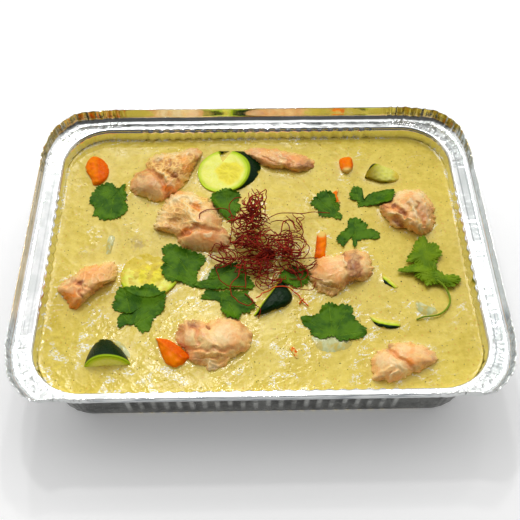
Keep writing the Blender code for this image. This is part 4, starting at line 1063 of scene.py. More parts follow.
def make_tray_body(material, outside):
    """The base, the rounded heel and the walls, which lean out and carry the flutes' wave and the
    corners' folds. An open sheet with Solidify."""
    points, outward, place, share, side, run = mouth_path(MOUTH_STEPS)
    wave = flute_wave(place, share, side)
    total = run[-1] + run[1]
    in_corner = np.sin(share * math.pi) ** 0.5
    crease = (folds(run, total, 3.0, 11) * 0.5 + 0.5) * in_corner
    foot = (FLANGE_HEIGHT - FOIL) * WALL_TAPER
    heel_angle = np.linspace(0.0, math.pi / 2, 6)
    heel_in = foot + HEEL * (1 - np.sin(heel_angle))
    heel_up = FOIL + HEEL * (1 - np.cos(heel_angle))
    wall = np.linspace(0.0, 1.0, 17)[1:]
    wall_up = heel_up[-1] + (FLANGE_HEIGHT - BEND - heel_up[-1]) * wall
    wall_in = (FLANGE_HEIGHT - wall_up) * WALL_TAPER
    inset = np.concatenate((heel_in, wall_in))
    height = np.concatenate((heel_up, wall_up))
    depth = smooth((height - 1.0) / 6.0)
    out = -inset[:, None] + depth[:, None] * (wave * FLUTE_DEPTH + crease * 0.7)[None, :]
    rings = np.empty((len(inset), len(points), 3))
    rings[..., :2] = points[None] + outward[None] * out[..., None]
    rings[..., 2] = height[:, None]
    base = np.arange(len(points))[None]
    walls = grid_faces(len(inset), len(points), True)[:, ::-1]
    # Painted highlight bands for the outside: on the flutes' crests, higher up the wall, and on the corners'
    # folds.
    painted_flute_highlight = smooth((np.broadcast_to(wave, out.shape) - 0.1) / 0.7) * smooth((height[:, None] - 6.0) / 20.0)
    masks = {"painted_flute_highlight": np.clip(painted_flute_highlight + 0.4 * crease, 0.0, 1.0).ravel()}
    tray = new_piece("foil_tray_body", rings, [walls, base], material, ("foil_tray",), masks)
    # The outside faces take the outside material, painted dark with painted highlight bands.
    tray.data.materials.append(outside)
    thicken(tray, "foil", FOIL).material_offset = 1


def make_tray_rim(material):
    """The flange and the upright lip with a rolled edge, pleated and crinkled at the corners. Each
    row of the sheet is (out, up): how far it lies outside the mouth and over the flange."""
    points, outward, place, share, side, run = mouth_path(MOUTH_STEPS)
    wave = flute_wave(place, share, side)
    total = run[-1] + run[1]
    width = rim_value(FLANGE_WIDTH, outward)
    reach = rim_value(LIP_REACH, outward) - ROLL_ROOM[0]
    lift = rim_value(LIP_HEIGHT, outward) - ROLL_ROOM[1]
    straight = np.array([MOUTH_HALF[s % 2] - CORNER_RADIUS for s in range(4)])[side]
    near = smooth(1.0 - (straight - np.abs(place) - 2.0) / 14.0)
    crinkled = np.where(share > 0, 1.0, near)
    fold = folds(run, total, 2.6, 3)
    pleat = fold * 0.6 + folds(run, total, 1.1, 4) * 0.45
    zero = np.zeros(len(points))

    rows = [(-0.30 + wave * 0.30, zero - 2 * BEND), (-0.15 + wave * 0.24, zero - BEND)]
    for angle in np.linspace(0.0, math.pi / 2, 5):
        rows.append((BEND * (1 - math.cos(angle)) + wave * 0.22, zero - BEND * (1 - math.sin(angle))))
    fillet = np.minimum(LIP_FILLET, width * 0.5)
    for part in np.linspace(0.0, 1.0, 8)[1:]:
        out = BEND + (width - fillet - BEND) * part
        rows.append((out, FLANGE_RISE * part + crinkled * pleat * 0.10 * part))
    lean = (reach - width) / lift
    for part in np.linspace(0.0, 1.0, 10)[1:]:
        a, b, c = (1 - part) ** 2, 2 * part * (1 - part), part**2
        out = a * (width - fillet) + b * (width + 0.1) + c * (width + lean * fillet)
        up = (a + b) * FLANGE_RISE + c * fillet
        bend = crinkled * pleat * (0.10 + 0.6 * part)
        rows.append((out + bend * 0.8, up + bend * 0.25 * (1 - part)))
    for part in np.linspace(0.0, 1.0, 6)[1:]:
        out = width + lean * (fillet + (lift - fillet) * part)
        rows.append((out + crinkled * pleat * (0.65 + 0.35 * part), fillet + (lift - fillet) * part))
    for angle in np.linspace(0.0, math.pi * 1.25, 8)[1:]:
        out = reach + ROLL * (1 - math.cos(angle)) + crinkled * pleat
        rows.append((out, lift + ROLL * math.sin(angle)))
    bumps = ripples(points, 24.0, 8) * 0.05 + fold * 0.02
    rings = np.empty((len(rows), len(points), 3))
    across = np.empty((len(rows), len(points)))
    for index, (out, up) in enumerate(rows):
        rings[index, :, :2] = points + outward * out[:, None]
        rings[index, :, 2] = FLANGE_HEIGHT + up + (bumps if index > 6 else 0.0)
        across[index] = np.clip(out / width, -0.2, 1.0) + np.clip((up - 0.3) / lift, 0.0, 1.0)
    faces = grid_faces(len(rows), len(points), True)[:, ::-1]
    left, right = smooth((-outward[:, 0] - 0.6) / 0.3), smooth((outward[:, 0] - 0.6) / 0.3)
    rear = smooth((points[:, 1] + 70.0) / 20.0)
    masks = {"across": across, "run": run, "crinkled": crinkled, "left": left, "right": right, "rear": rear}
    masks = {name: np.broadcast_to(values, across.shape).ravel() for name, values in masks.items()}
    rim = new_piece("foil_tray_rim", rings, [faces], material, ("foil_tray",), masks)
    thicken(rim, "foil", FOIL)


# ---------------------------------------------------------------- the sauce


def still_sauce(x, y):
    """The height of the still sauce: its level and the low swells of a few slow sine waves."""
    swell = 0.30 * np.sin(x / 21.0 + 0.6) * np.sin(y / 17.0 - 0.4)
    swell = swell + 0.22 * np.sin((x + 1.6 * y) / 29.0 + 1.1)
    return CURRY_LEVEL + (swell + 0.16 * np.sin((1.3 * x - y) / 13.0 + 2.3))


def make_sauce(heights, material):
    """The sauce from wall to wall: the swells, plus soft ridges, plus a rise against the tray and
    against every piece that breaks the surface. Its grid is squeezed into the mouth's rounded
    corners, and a skirt and a flat base close it below. `film` marks the sauce near a piece,
    `stirred` where it is restless, and the sheen mask where the sauce gets a painted sheen and
    painted glints: the streaks, the blobs in front and the edges."""
    columns, rows = 330, 250
    edge = (FLANGE_HEIGHT - CURRY_LEVEL) * WALL_TAPER - 0.15
    half = MOUTH_HALF - edge
    radius = CORNER_RADIUS - edge
    v = np.linspace(-1.0, 1.0, rows)
    y = np.sin(v * math.pi / 2 * 0.94) / math.sin(math.pi / 2 * 0.94) * half[1]
    y = 0.75 * v * half[1] + 0.25 * y
    over = np.clip(np.abs(y) - (half[1] - radius), 0.0, radius)
    wide = half[0] - radius + np.sqrt(np.maximum(radius**2 - over**2, 0.0))
    u = np.linspace(-1.0, 1.0, columns)
    x = u[None, :] * wide[:, None]
    y = np.broadcast_to(y[:, None], x.shape)
    for index, (across, along) in enumerate(((x, y), (y, x))):
        side = 1 - index
        into = smooth(1.0 - (half[index] - np.abs(across)) / 3.0)
        bulge = flute_wave(along, np.zeros_like(along), side) * (FLUTE_DEPTH + 0.1) * into * np.sign(across)
        if index == 0:
            x = x + bulge
        else:
            y = y + bulge
    flat = np.stack((x, y), axis=-1)

    still = still_sauce(x, y)
    patchy = ripples(flat, 34.0, 24) * 0.35
    stirred = np.clip(0.1 + 0.75 * smooth((10.0 - y) / 80.0) + patchy, 0.0, 1.0)
    stirred = stirred * (1.0 - 0.4 * smooth((x - 60.0) / 60.0))
    slanted = turned(np.stack((x, y, still), axis=-1), -35.0)[..., :2] * (0.33, 1.0)
    streaks = ridges(slanted, 7.0, 22)
    calm = 1.0 - 0.5 * smooth((x - 40.0) / 60.0)
    ridge = ridges(flat, 15.0, 21) ** 2 * 0.16 * calm + streaks**2 * 0.11 * stirred
    z = still + ridge - 0.12 + ripples(flat, 2.4, 23) * 0.035 * stirred
    piece = heights.grid - still_sauce(*np.meshgrid(heights.x, heights.y, indexing="ij"))
    standing = smooth(piece / 0.8)
    near = heights.at(x, y, blurred(standing, 14))
    z = z + 0.55 * near * (1 - 0.5 * near)
    wall = np.minimum(half[0] - np.abs(x), half[1] - np.abs(y))
    past = [np.clip(np.abs(place) - reach + radius, 0, None) for place, reach in zip((x, y), half)]
    wall = np.maximum(np.minimum(wall, radius - np.hypot(*past)), 0.0)
    z = z + 0.7 * np.exp(-wall / 1.4)
    film = np.clip(near * 2.0, 0.0, 1.0)

    index = np.arange(rows * columns).reshape(rows, columns)
    border = np.concatenate((index[0, :-1], index[:-1, -1], index[-1, :0:-1], index[:0:-1, 0]))
    top = np.stack((x, y, z), axis=-1).reshape(-1, 3)
    foot = (FLANGE_HEIGHT - FOIL) * WALL_TAPER + 1.4
    shrink = (MOUTH_HALF - foot) / half
    bottom = top[border] * (*shrink, 0.0) + (0.0, 0.0, FOIL + 0.3)
    points = np.concatenate((top, bottom))
    below = len(top) + np.arange(len(border))
    skirt = np.stack((border, below, np.roll(below, -1), np.roll(border, -1)), axis=-1)
    faces = [grid_faces(rows, columns, False), skirt, below[None, ::-1]]
    near_edge = np.clip(near * 1.6, 0.0, 1.0) + np.exp(-wall / 5.0)
    busy = np.clip(stirred * 0.75 + 0.6 * near_edge, 0.0, 1.0)
    ring = np.clip(near * 3.0, 0.0, 1.0) * np.clip(1.6 - near * 2.0, 0.0, 1.0)
    ring = ring * smooth((70.0 - y) / 60.0)
    # Where the painted sheen and painted glints go: streaks, blobs in front and rings round the pieces.
    front = smooth((-44.0 - y) / 22.0) * (1.0 - 0.55 * smooth((x - 20.0) / 50.0))
    blobs = smooth((ripples(flat * (0.7, 1.0), 9.0, 26) + 0.05) / 0.35)
    blobs = blobs * smooth(0.65 + ripples(flat, 34.0, 28) * 1.2)
    painted_sheen = smooth((streaks - 0.58) / 0.26) * (1.0 - 0.8 * front)
    painted_sheen = np.maximum(painted_sheen, blobs * front) * np.clip(stirred * 1.2 - 0.12 + ring, 0.0, 1.0)
    # A line of painted glints at the sauce's edge along the wall, stronger towards the back.
    by_wall = np.exp(-((wall - 0.8) ** 2) / 0.7) * smooth((y + 20.0) / 60.0)
    painted_sheen = np.maximum(painted_sheen, 0.9 * by_wall)
    painted_sheen = painted_sheen * smooth(0.75 + ripples(flat, 19.0, 25) * 0.8)
    stain = spots(flat + ripples(flat, 4.0, 27)[..., None] * 1.2, STAINS)
    masks = {"film": film, "stirred": busy, "painted_sheen": painted_sheen, "stain": stain}
    masks = {name: np.concatenate((values.ravel(), np.zeros(len(border)))) for name, values in masks.items()}
    new_piece("curry_sauce_surface", points, faces, material, ("curry_sauce",), masks)


# ---------------------------------------------------------------- chicken and vegetables


def stood_up(x, y, height):
    """Where a point of this height above the sauce stands, so that it covers its layout place."""
    share = height / SEEN_FROM[2]
    return x - (x - SEEN_FROM[0]) * share, y - (y - SEEN_FROM[1]) * share


def spline(a, b, c, d, t):
    """The cubic from b to c, t from 0 to 1, whose slope at each follows the points beside it."""
    return b + 0.5 * t * (c - a + t * (2 * a - 5 * b + 4 * c - d + t * (3 * (b - c) + d - a)))


def smooth_route(points, count):
    """Even steps along a soft curve through a few points: cubic splines through neighbours."""
    points = np.array(points, float)
    padded = np.concatenate(([2 * points[0] - points[1]], points, [2 * points[-1] - points[-2]]))
    where = np.linspace(0.0, len(points) - 1.001, count)
    i = where.astype(int)
    return spline(*(padded[i + k] for k in range(4)), (where - i)[:, None])


def closed_curve(corners, count):
    """A soft closed curve through corners, at even steps: cubic splines through neighbours."""
    corners = np.array(corners, float)
    if np.cross(corners, np.roll(corners, -1, axis=0)).sum() < 0:
        corners = corners[::-1]
    where = np.linspace(0.0, len(corners), 12 * count, endpoint=False)
    i = where.astype(int)
    curve = spline(*(corners[(i + k) % len(corners)] for k in (-1, 0, 1, 2)), (where - i)[:, None])
    steps = np.linalg.norm(np.roll(curve, -1, axis=0) - curve, axis=1)
    run = np.concatenate(([0.0], np.cumsum(steps)))
    even = np.linspace(0.0, run[-1], count, endpoint=False)
    looped = np.concatenate((curve, curve[:1]))
    return np.column_stack([np.interp(even, run, looped[:, k]) for k in (0, 1)]), run[-1]


def route_distance(flat, route):
    """The distance of each point to the nearest part of a route."""
    route = np.array(route, float)
    best = np.full(flat.shape[:-1], np.inf)
    for start, end in zip(route[:-1], route[1:]):
        line = end - start
        along = np.clip(((flat - start) @ line) / (line @ line + 1e-9), 0.0, 1.0)
        best = np.minimum(best, np.linalg.norm(flat - start - along[..., None] * line, axis=-1))
    return best


def spots(flat, places):
    """The strongest share at each point of round spots (x, y, radius, share) with soft edges."""
    best = np.zeros(flat.shape[:-1])
    for x, y, radius, share in places:
        gone = np.hypot(flat[..., 0] - x, flat[..., 1] - y) / radius
        best = np.maximum(best, smooth((1.25 - gone) / 0.75) * share)
    return best


def cling(points, seed, depth, least):
    """How far sauce covers a piece: wholly at the sauce line, in tongues a little above it."""
    above = points[..., 2] - still_sauce(points[..., 0], points[..., 1])
    tongues = ripples(points, 7.0, seed) * 0.4 + ripples(points, 2.4, seed + 1) * 0.2
    return 1.0 - smooth((above - least - tongues) / depth)


class Mound:
    """A piece that stands in the sauce: rings from its middle out to a ragged outline, domed, then
    down and under. `flat` holds the layout places of the rings and `share` runs from 0 to 1."""

    # The rings underneath: the share of the outline's width and of the depth.
    UNDER = ((0.98, 0.25), (0.9, 0.5), (0.7, 0.8), (0.35, 1.0))

    def __init__(self, outline, middle, rows, columns, ragged, seed):
        edge, _ = closed_curve(outline, columns)
        middle = np.array(middle, float)
        out = edge - middle
        size = np.linalg.norm(out, axis=1, keepdims=True)
        direction = out / size
        rough = ripples(edge, 5.5, seed) * ragged + ripples(edge, 2.2, seed + 1) * ragged * 0.5
        self.front = -direction[:, 1][None, :]
        self.share = np.sin(np.linspace(0.0, math.pi / 2, rows + 1)[1:])[:, None] ** 0.85
        frayed = (direction * rough[:, None])[None] * self.share[..., None] ** 12
        self.flat = middle + self.share[..., None] * (edge - middle)[None] + frayed

    def dome(self, height, power=3.0, soft=0.72):
        """Heights that fall to nothing at the outline, more gently on the front."""
        return height * np.maximum(1.0 - self.share**power, 0.0) ** (soft + 0.25 * self.front)

    def build(self, height, detail, under=5.0):
        """The closed skin: rings at a height over the sauce with fine detail on it. A point stands
        where its height puts it, and the detail only lifts it."""
        x, y = stood_up(self.flat[..., 0], self.flat[..., 1], height)
        top = np.stack((x, y, still_sauce(x, y) + height + detail), axis=-1)
        rings, edge = [top], top[-1]
        centre = np.array([edge[:, 0].mean(), edge[:, 1].mean(), 0.0])
        for inward, down in self.UNDER:
            ring = edge * inward + centre * (1 - inward)
            ring[:, 2] = edge[:, 2] - down * under
            rings.append(ring[None])
        rings = np.concatenate(rings)
        first = rings[0].mean(axis=0)
        last = rings[-1].mean(axis=0) - (0.0, 0.0, 0.2)
        return closed_skin(rings, first, last)

    def spread(self, values):
        """Numbers for all points of the skin from numbers for the rings on top."""
        values = np.broadcast_to(values, self.flat.shape[:2])
        edge = np.repeat(values[-1:], len(self.UNDER), axis=0)
        full = np.concatenate((values, edge)).ravel()
        return np.concatenate((full, [values[0].mean(), values[-1].mean()]))


def make_chicken(name, plan, number, material):
    """A torn piece of thigh: a dome with bumps, folds along routes, and crinkled skin."""
    mound = Mound(plan["outline"], plan["middle"], 76, 230, 0.55, 40 + 7 * number)
    flat = mound.flat
    inner = smooth((1.0 - mound.share) / 0.22)
    height = mound.dome(plan["height"])
    for x, y, radius, rise in plan["bumps"]:
        gone = ((flat[..., 0] - x) ** 2 + (flat[..., 1] - y) ** 2) / radius**2
        height = height + rise * np.exp(-1.4 * gone) * inner
    wobble = np.stack((ripples(flat, 9.0, 61 + number), ripples(flat, 9.0, 62 + number)), axis=-1) * 0.55
    fold = np.zeros(flat.shape[:2])
    for rise, wide, route in plan["folds"]:
        shape = rise * np.exp(-((route_distance(flat + wobble, route) / wide) ** 2))
        fold = np.where(np.abs(shape) > np.abs(fold), shape, fold)
    skin = np.clip(spots(flat, plan["skin"]) + ripples(flat, 7.0, 63 + number) * 0.12, 0.0, 1.0)
    solid = np.concatenate((flat, height[..., None]), axis=-1)
    coarse = ridges(solid, 10.0, 80 + number) - 0.5
    middle = ridges(solid, 4.6, 100 + number) - 0.5
    fine = ridges(solid, 2.3, 120 + number) - 0.5
    detail = coarse * (0.26 + 0.5 * skin) + middle * (0.05 + 0.28 * skin) + fine * 0.08 * skin
    detail = (detail * 0.9 + fold * 0.62) * (0.2 + 0.8 * inner)
    height = np.maximum(height + fold * 0.38 * inner, 0.0)
    points, faces = mound.build(height, detail)
    # The relief marks crests and hollows, where the chicken material paints highlights and shade.
    grain = (0.34 * coarse + 0.3 * middle + 0.14 * fine) * (0.5 + 0.6 * skin)
    relief = np.clip(0.5 + grain + 0.22 * np.clip(fold, -1.6, 1.6), 0.0, 1.0)
    masks = {"relief": mound.spread(relief), "skin": mound.spread(skin)}
    # Dark spots: browned meat and painted shade. Pale spots: cream skin and painted highlights.
    for tone in ("warm", "dark", "pale"):
        broken = spots(flat + wobble * 1.4, plan[tone])
        masks[tone] = mound.spread(np.clip(broken * (1.0 + 0.5 * middle), 0.0, 1.0))
    masks["film"] = cling(points, 160 + number, 0.8, 0.15)
    new_piece(name + "_meat", points, faces, material, (name,), masks)
    return points


def seeds_mask(face_x, face_y, radius, number):
    """Pale seeds round the middle of a slice: narrow ovals that point outwards."""
    chance = np.random.default_rng(number)
    angle = 2 * math.pi * (np.arange(21) + chance.uniform(-0.3, 0.3, 21)) / 21
    away = radius * chance.uniform(0.15, 0.42, 21)
    middle = np.column_stack((np.cos(angle), np.sin(angle)))
    x = face_x[:, None] - middle[:, 0] * away
    y = face_y[:, None] - middle[:, 1] * away
    long = (x * middle[:, 0] + y * middle[:, 1]) / (radius * 0.12)
    wide = (-x * middle[:, 1] + y * middle[:, 0]) / (radius * 0.06)
    return smooth(1.5 - np.sqrt((long**2 + wide**2).min(axis=1)))


def slice_skin(radius, length, share, number, slant=(0.0, 0.0), offset=(0.0, 0.0), over=0.0, notch=False):
    """(points, masks) of a round slice or chunk: its cut face is at the origin and its body runs
    down -Z. Rings go from the middle of the face, over a rounded edge, down the side and back to
    the middle below. The outline is a little off round."""
    edge = 0.8
    columns = 200
    face_r = np.linspace(0.0, 1.0, 61)[1:] * (radius - edge)
    bend = np.linspace(0.0, math.pi / 2, 6)[1:]
    side = np.linspace(0.0, 1.0, 22)[1:]
    side_r = radius * (1 + (share - 1) * side**1.3)
    ring_r = np.concatenate((face_r, radius - edge + edge * np.sin(bend), side_r, [radius * share * 0.5]))
    down = edge + (length - edge) * side
    ring_z = np.concatenate((0 * face_r, -edge * (1 - np.cos(bend)), -down, [-length]))
    angle = 2 * math.pi * np.arange(columns) / columns
    off_round = 1.0 + 0.014 * np.sin(2 * angle + number) + 0.009 * np.sin(5 * angle + 2 * number)
    r = ring_r[:, None] * off_round[None, :]
    x, y = r * np.cos(angle), r * np.sin(angle)
    z = np.broadcast_to(ring_z[:, None], r.shape).copy()
    on_face = ring_z[:, None] > -0.01
    flat = np.stack((x, y), axis=-1)
    seed_x, seed_y = x - offset[0], y - offset[1]
    around = np.arctan2(seed_y, seed_x)
    seeds = seeds_mask(seed_x.ravel(), seed_y.ravel(), radius, number).reshape(x.shape)
    away = np.hypot(seed_x, seed_y) / radius
    middle = smooth((0.60 + 0.05 * np.sin(3 * around + number) + 0.03 * np.sin(7 * around) - away) / 0.16)
    lumps = ripples(flat, radius * 0.5, number + 5) * 0.08 + 0.22 * seeds * middle - 0.12 * middle
    z = z + on_face * lumps
    below = (ring_z < -length + 0.01)[:, None]
    skin = np.where(on_face, 0.0, smooth((-ring_z[:, None] - 0.55 - over) / 0.4))
    skin = np.where(below, 0.0, skin)
    rim = np.where(on_face, np.clip((r - radius + 4.6) / 4.4, 0.0, 1.0), 1.0)
    if notch:
        gap = np.abs(x - 0.22 * (y - radius * 0.5)) - np.clip((y - radius * 0.5) * 0.52, 0.0, 9.0)
        z = z - 9.0 * smooth(0.5 - gap / 1.6) * smooth((y - radius * 0.42) / (radius * 0.16))
    azimuth = math.radians(slant[0])
    x = x - ring_z[:, None] * slant[1] * math.cos(azimuth)
    y = y - ring_z[:, None] * slant[1] * math.sin(azimuth)
    points = np.stack((x, y, z), axis=-1)
    return points, {"skin": skin, "rim": rim, "middle": middle * on_face, "seed": seeds * middle * on_face}


def place_slice(points, place, raised, tilt):
    """Tips the cut face up in one direction and puts its middle in place."""
    direction = math.radians(raised)
    axis = np.array([math.sin(direction), -math.cos(direction), 0.0])
    c, s = math.cos(math.radians(tilt)), math.sin(math.radians(tilt))
    spun = points * c + np.cross(axis, points) * s + (points @ axis)[..., None] * axis * (1 - c)
    x, y, lift = place
    return spun + (x, y, still_sauce(x, y) + lift)


def place_chunk(points, place, back, sink):
    """Lays a chunk on its side: its axis runs back in one direction and sinks."""
    level, down = math.cos(math.radians(sink)), math.sin(math.radians(sink))
    azimuth = math.radians(back)
    body = np.array([level * math.cos(azimuth), level * math.sin(azimuth), -down])
    across = np.cross((0.0, 0.0, 1.0), body)
    across /= np.linalg.norm(across)
    above = np.cross(body, across)
    x, y, lift = place
    spun = points[..., :1] * across + points[..., 1:2] * above - points[..., 2:] * body
    return spun + (x, y, still_sauce(x, y) + lift)


def finish_slice(name, placed, masks, number, material, least):
    """Closes a placed slice with its two middles and adds the sauce that clings to it."""
    first, last = placed[0].mean(axis=0), placed[-1].mean(axis=0)
    points, faces = closed_skin(placed, first, last)
    full = {}
    for mask, values in masks.items():
        values = np.broadcast_to(values, placed.shape[:2])
        full[mask] = np.concatenate((values.ravel(), [values[0].mean(), values[-1].mean()]))
    full["film"] = cling(points, 200 + number, 0.7, least - 0.5)
    if name == "zucchini_half_sunk":
        lobes = spots(points[:, :2], SUNK_SEEDS)
        points[:, 2] += 0.9 * lobes
        cloud = 0.35 + ripples(points[:, :2], 8.0, 9) * 0.25 + smooth((points[:, 1] + 15.0) / 5.0)
        full["film"] = np.maximum(full["film"], np.clip(cloud, 0.0, 1.0) * (1.0 - 0.75 * lobes))
        full["middle"] = np.maximum(full["middle"], lobes)
        full["seed"] = full["seed"] * 0.3
    full["olive_shade"] = np.zeros(len(points))
    new_piece(name + "_cut", points, faces, material, (name,), full)
    return points


def make_rind(name, outline, middle, rise, flesh, reach, veil, olive_shade, pale, number, material):
    """A piece that lies with its skin up: flesh and a lime band along one line, skin elsewhere."""
    mound = Mound(outline, middle, 50, 160, 0.05, 290 + number)
    away = route_distance(mound.flat, flesh)
    detail = ripples(mound.flat, 5.0, 295 + number) * 0.12 * smooth((1.0 - mound.share) / 0.3)
    points, faces = mound.build(mound.dome(rise, 4.0, 0.6), detail)
    covered = np.maximum(veil * smooth(1.15 - away / (0.75 * reach)), spots(mound.flat, pale))
    # Painted shade: the olive tint grows towards the left and the bottom.
    shade = 1.0 - 0.65 * smooth((mound.flat[..., 0] - middle[0] + 9.0) / 14.0)
    shade = shade + 0.5 * smooth((middle[1] - 4.0 - mound.flat[..., 1]) / 4.0)
    masks = {
        "skin": mound.spread(smooth(0.5 + (away - reach) / 0.7)),
        "rim": mound.spread(np.clip(1.0 - (reach - away) / 2.4, 0.0, 1.0)),
        "film": np.maximum(cling(points, 296 + number, 0.5, 0.1), mound.spread(covered)),
        "olive_shade": mound.spread(np.clip(olive_shade * shade, 0.0, 1.0)),
        "middle": np.zeros(len(points)),
        "seed": np.zeros(len(points)),
    }
    new_piece(name + "_rind", points, faces, material, (name,), masks)
    return points


def make_block(name, outline, middle, rise, lit, pale, number, material):
    """A cut piece of carrot: a flat-topped mound with soft edges and one facet painted brighter as lit."""
    mound = Mound(outline, middle, 46, 150, 0.10, 240 + number)
    height = mound.dome(rise * 0.9, 4.5, 0.6)
    start, end = np.array(lit, float)
    line = (end - start) / np.linalg.norm(end - start)
    across = (mound.flat - start) @ np.array([-line[1], line[0]])
    # Painted light: the top is brighter on the left of the line.
    light = smooth(0.5 + across / 3.0)
    inner = smooth((1.0 - mound.share) / 0.35)
    detail = (-0.10 * np.abs(across) + ripples(mound.flat, 6.0, 250 + number) * 0.15) * inner
    points, faces = mound.build(height, detail)
    film = cling(points, 260 + number, 0.9, 0.2)
    film = np.maximum(film, mound.spread(spots(mound.flat, [(*spot, 0.8) for spot in pale])))
    masks = {"light": mound.spread(light), "film": film}
    new_piece(name + "_block", points, faces, material, (name,), masks)
    return points


def make_onion(name, outline, middle, number, material):
    """A thin wet slip of onion, bowed up along its middle."""
    mound = Mound(outline, middle, 24, 90, 0.12, 270 + number)
    points, faces = mound.build(mound.dome(0.9, 2.0, 0.8), -0.05, 1.2)
    masks = {"film": cling(points, 280 + number, 0.8, -0.1)}
    new_piece(name + "_slip", points, faces, material, (name,), masks)
    return points


# ---------------------------------------------------------------- coriander


def make_leaflet(label, node, outline, middle, stalk, tips, heights, number, material, raise_by=0.0):
    """A thin leaf draped over what lies below it, with rounded teeth and sharp nicks along its
    edge. Veins run from the stalk to the ends of the lobes, with side veins off them."""
    rows, columns = 34, 420
    edge, length = closed_curve(outline, columns)
    middle = np.array(middle, float)
    out = edge - middle
    direction = out / np.linalg.norm(out, axis=1, keepdims=True)
    teeth = round(length / TOOTH_PITCH)
    phase = teeth * np.linspace(0.0, 1.0, columns, endpoint=False)
    phase = phase + 0.35 * np.sin(2 * math.pi * phase / 5.3 + number)
    tooth = np.abs(np.sin(math.pi * phase)) ** 1.2
    depth = 1.35 + 0.4 * np.sin(phase * 1.7 + number)
    edge = edge + direction * ((tooth - 0.55) * depth)[:, None]
    share = np.linspace(0.0, 1.0, rows + 1)[1:, None]
    flat = middle + share[..., None] * (edge - middle)[None]

    vein = np.zeros(flat.shape[:2])
    stalk = np.array(stalk, float)
    for tip in np.array(tips, float):
        line = tip - stalk
        span = np.linalg.norm(line)
        line /= span
        along = (flat - stalk) @ line
        off = np.abs((flat - stalk) @ np.array([-line[1], line[0]]))
        bend = ripples(flat, 9.0, 330 + number) * 0.25
        vein = np.maximum(vein, smooth(1.0 - np.abs(off + bend) / 0.38) * (along > 0) * (along < span * 0.93))
        step = (along - off * 1.2) / 3.4
        branch = smooth(1.0 - np.abs(step - np.round(step)) * 3.4 / 0.25)
        near = smooth(1.2 - off / 4.0) * (along > 2.5) * (along < span * 0.95)
        vein = np.maximum(vein, 0.45 * branch * near)

    size = np.linalg.norm(out, axis=1).mean()
    curl = ripples(flat, size * 1.1, 300 + number) * 0.40 + ripples(flat, size * 0.45, 320 + number) * 0.20
    support = spread_out(heights.grid, 2)
    gentle = blurred(support, 20)
    lift = 0.3 + np.abs(curl) * share**2 + 0.35 * smooth((share - 0.75) / 0.25) * np.abs(curl)
    lift = lift - 0.14 * vein
    if raise_by:
        lift = lift + raise_by * (1.0 - 0.55 * share**2)
    x, y = flat[..., 0], flat[..., 1]
    for _ in range(4):
        level = np.maximum(heights.at(x, y), heights.at(x, y, gentle)) + lift
        x, y = stood_up(flat[..., 0], flat[..., 1], level - still_sauce(x, y))
    rings = np.stack((x, y, level), axis=-1)
    points = np.concatenate((rings.reshape(-1, 3), [rings[0].mean(axis=0)]))
    column = np.arange(columns)
    fan = np.stack((np.full(columns, rows * columns), column, (column + 1) % columns), axis=-1)
    faces = [grid_faces(rows, columns, True)[:, ::-1], fan]
    masks = {"vein": np.append(vein, 0.5)}
    leaf = new_piece(label + "_leaf", points, faces, material, (node,), masks)
    thicken(leaf, "blade", LEAF_THICKNESS)
    heights.add(points)


def make_stalk(material):
    """The raised sprig's bent stalk, a round rod that thins towards its end."""
    route = smooth_route(SPRIG_ROUTE, 90)
    x, y = stood_up(route[:, 0], route[:, 1], route[:, 2])
    path = np.column_stack((x, y, still_sauce(x, y) + route[:, 2] - 0.5))
    radius = SPRIG_STALK * (1.0 - 0.3 * np.linspace(0.0, 1.0, len(path)))
    points, faces = tubes(path[None], radius[None], 12)
    masks = {"vein": np.full(len(points), 0.8)}
    new_piece("coriander_stalk_rod", points, faces, material, ("coriander_stalk",), masks)


# ---------------------------------------------------------------- chilli threads


def laid(x, y, high, ground_grid, heights):
    """Points at a height over the sauce, stood up from their layout places, above what is there."""
    sx, sy = stood_up(x, y, high)
    ground = heights.at(sx, sy, ground_grid)
    return np.stack((sx, sy, np.maximum(ground + 0.45, still_sauce(sx, sy) + high)), axis=-1)


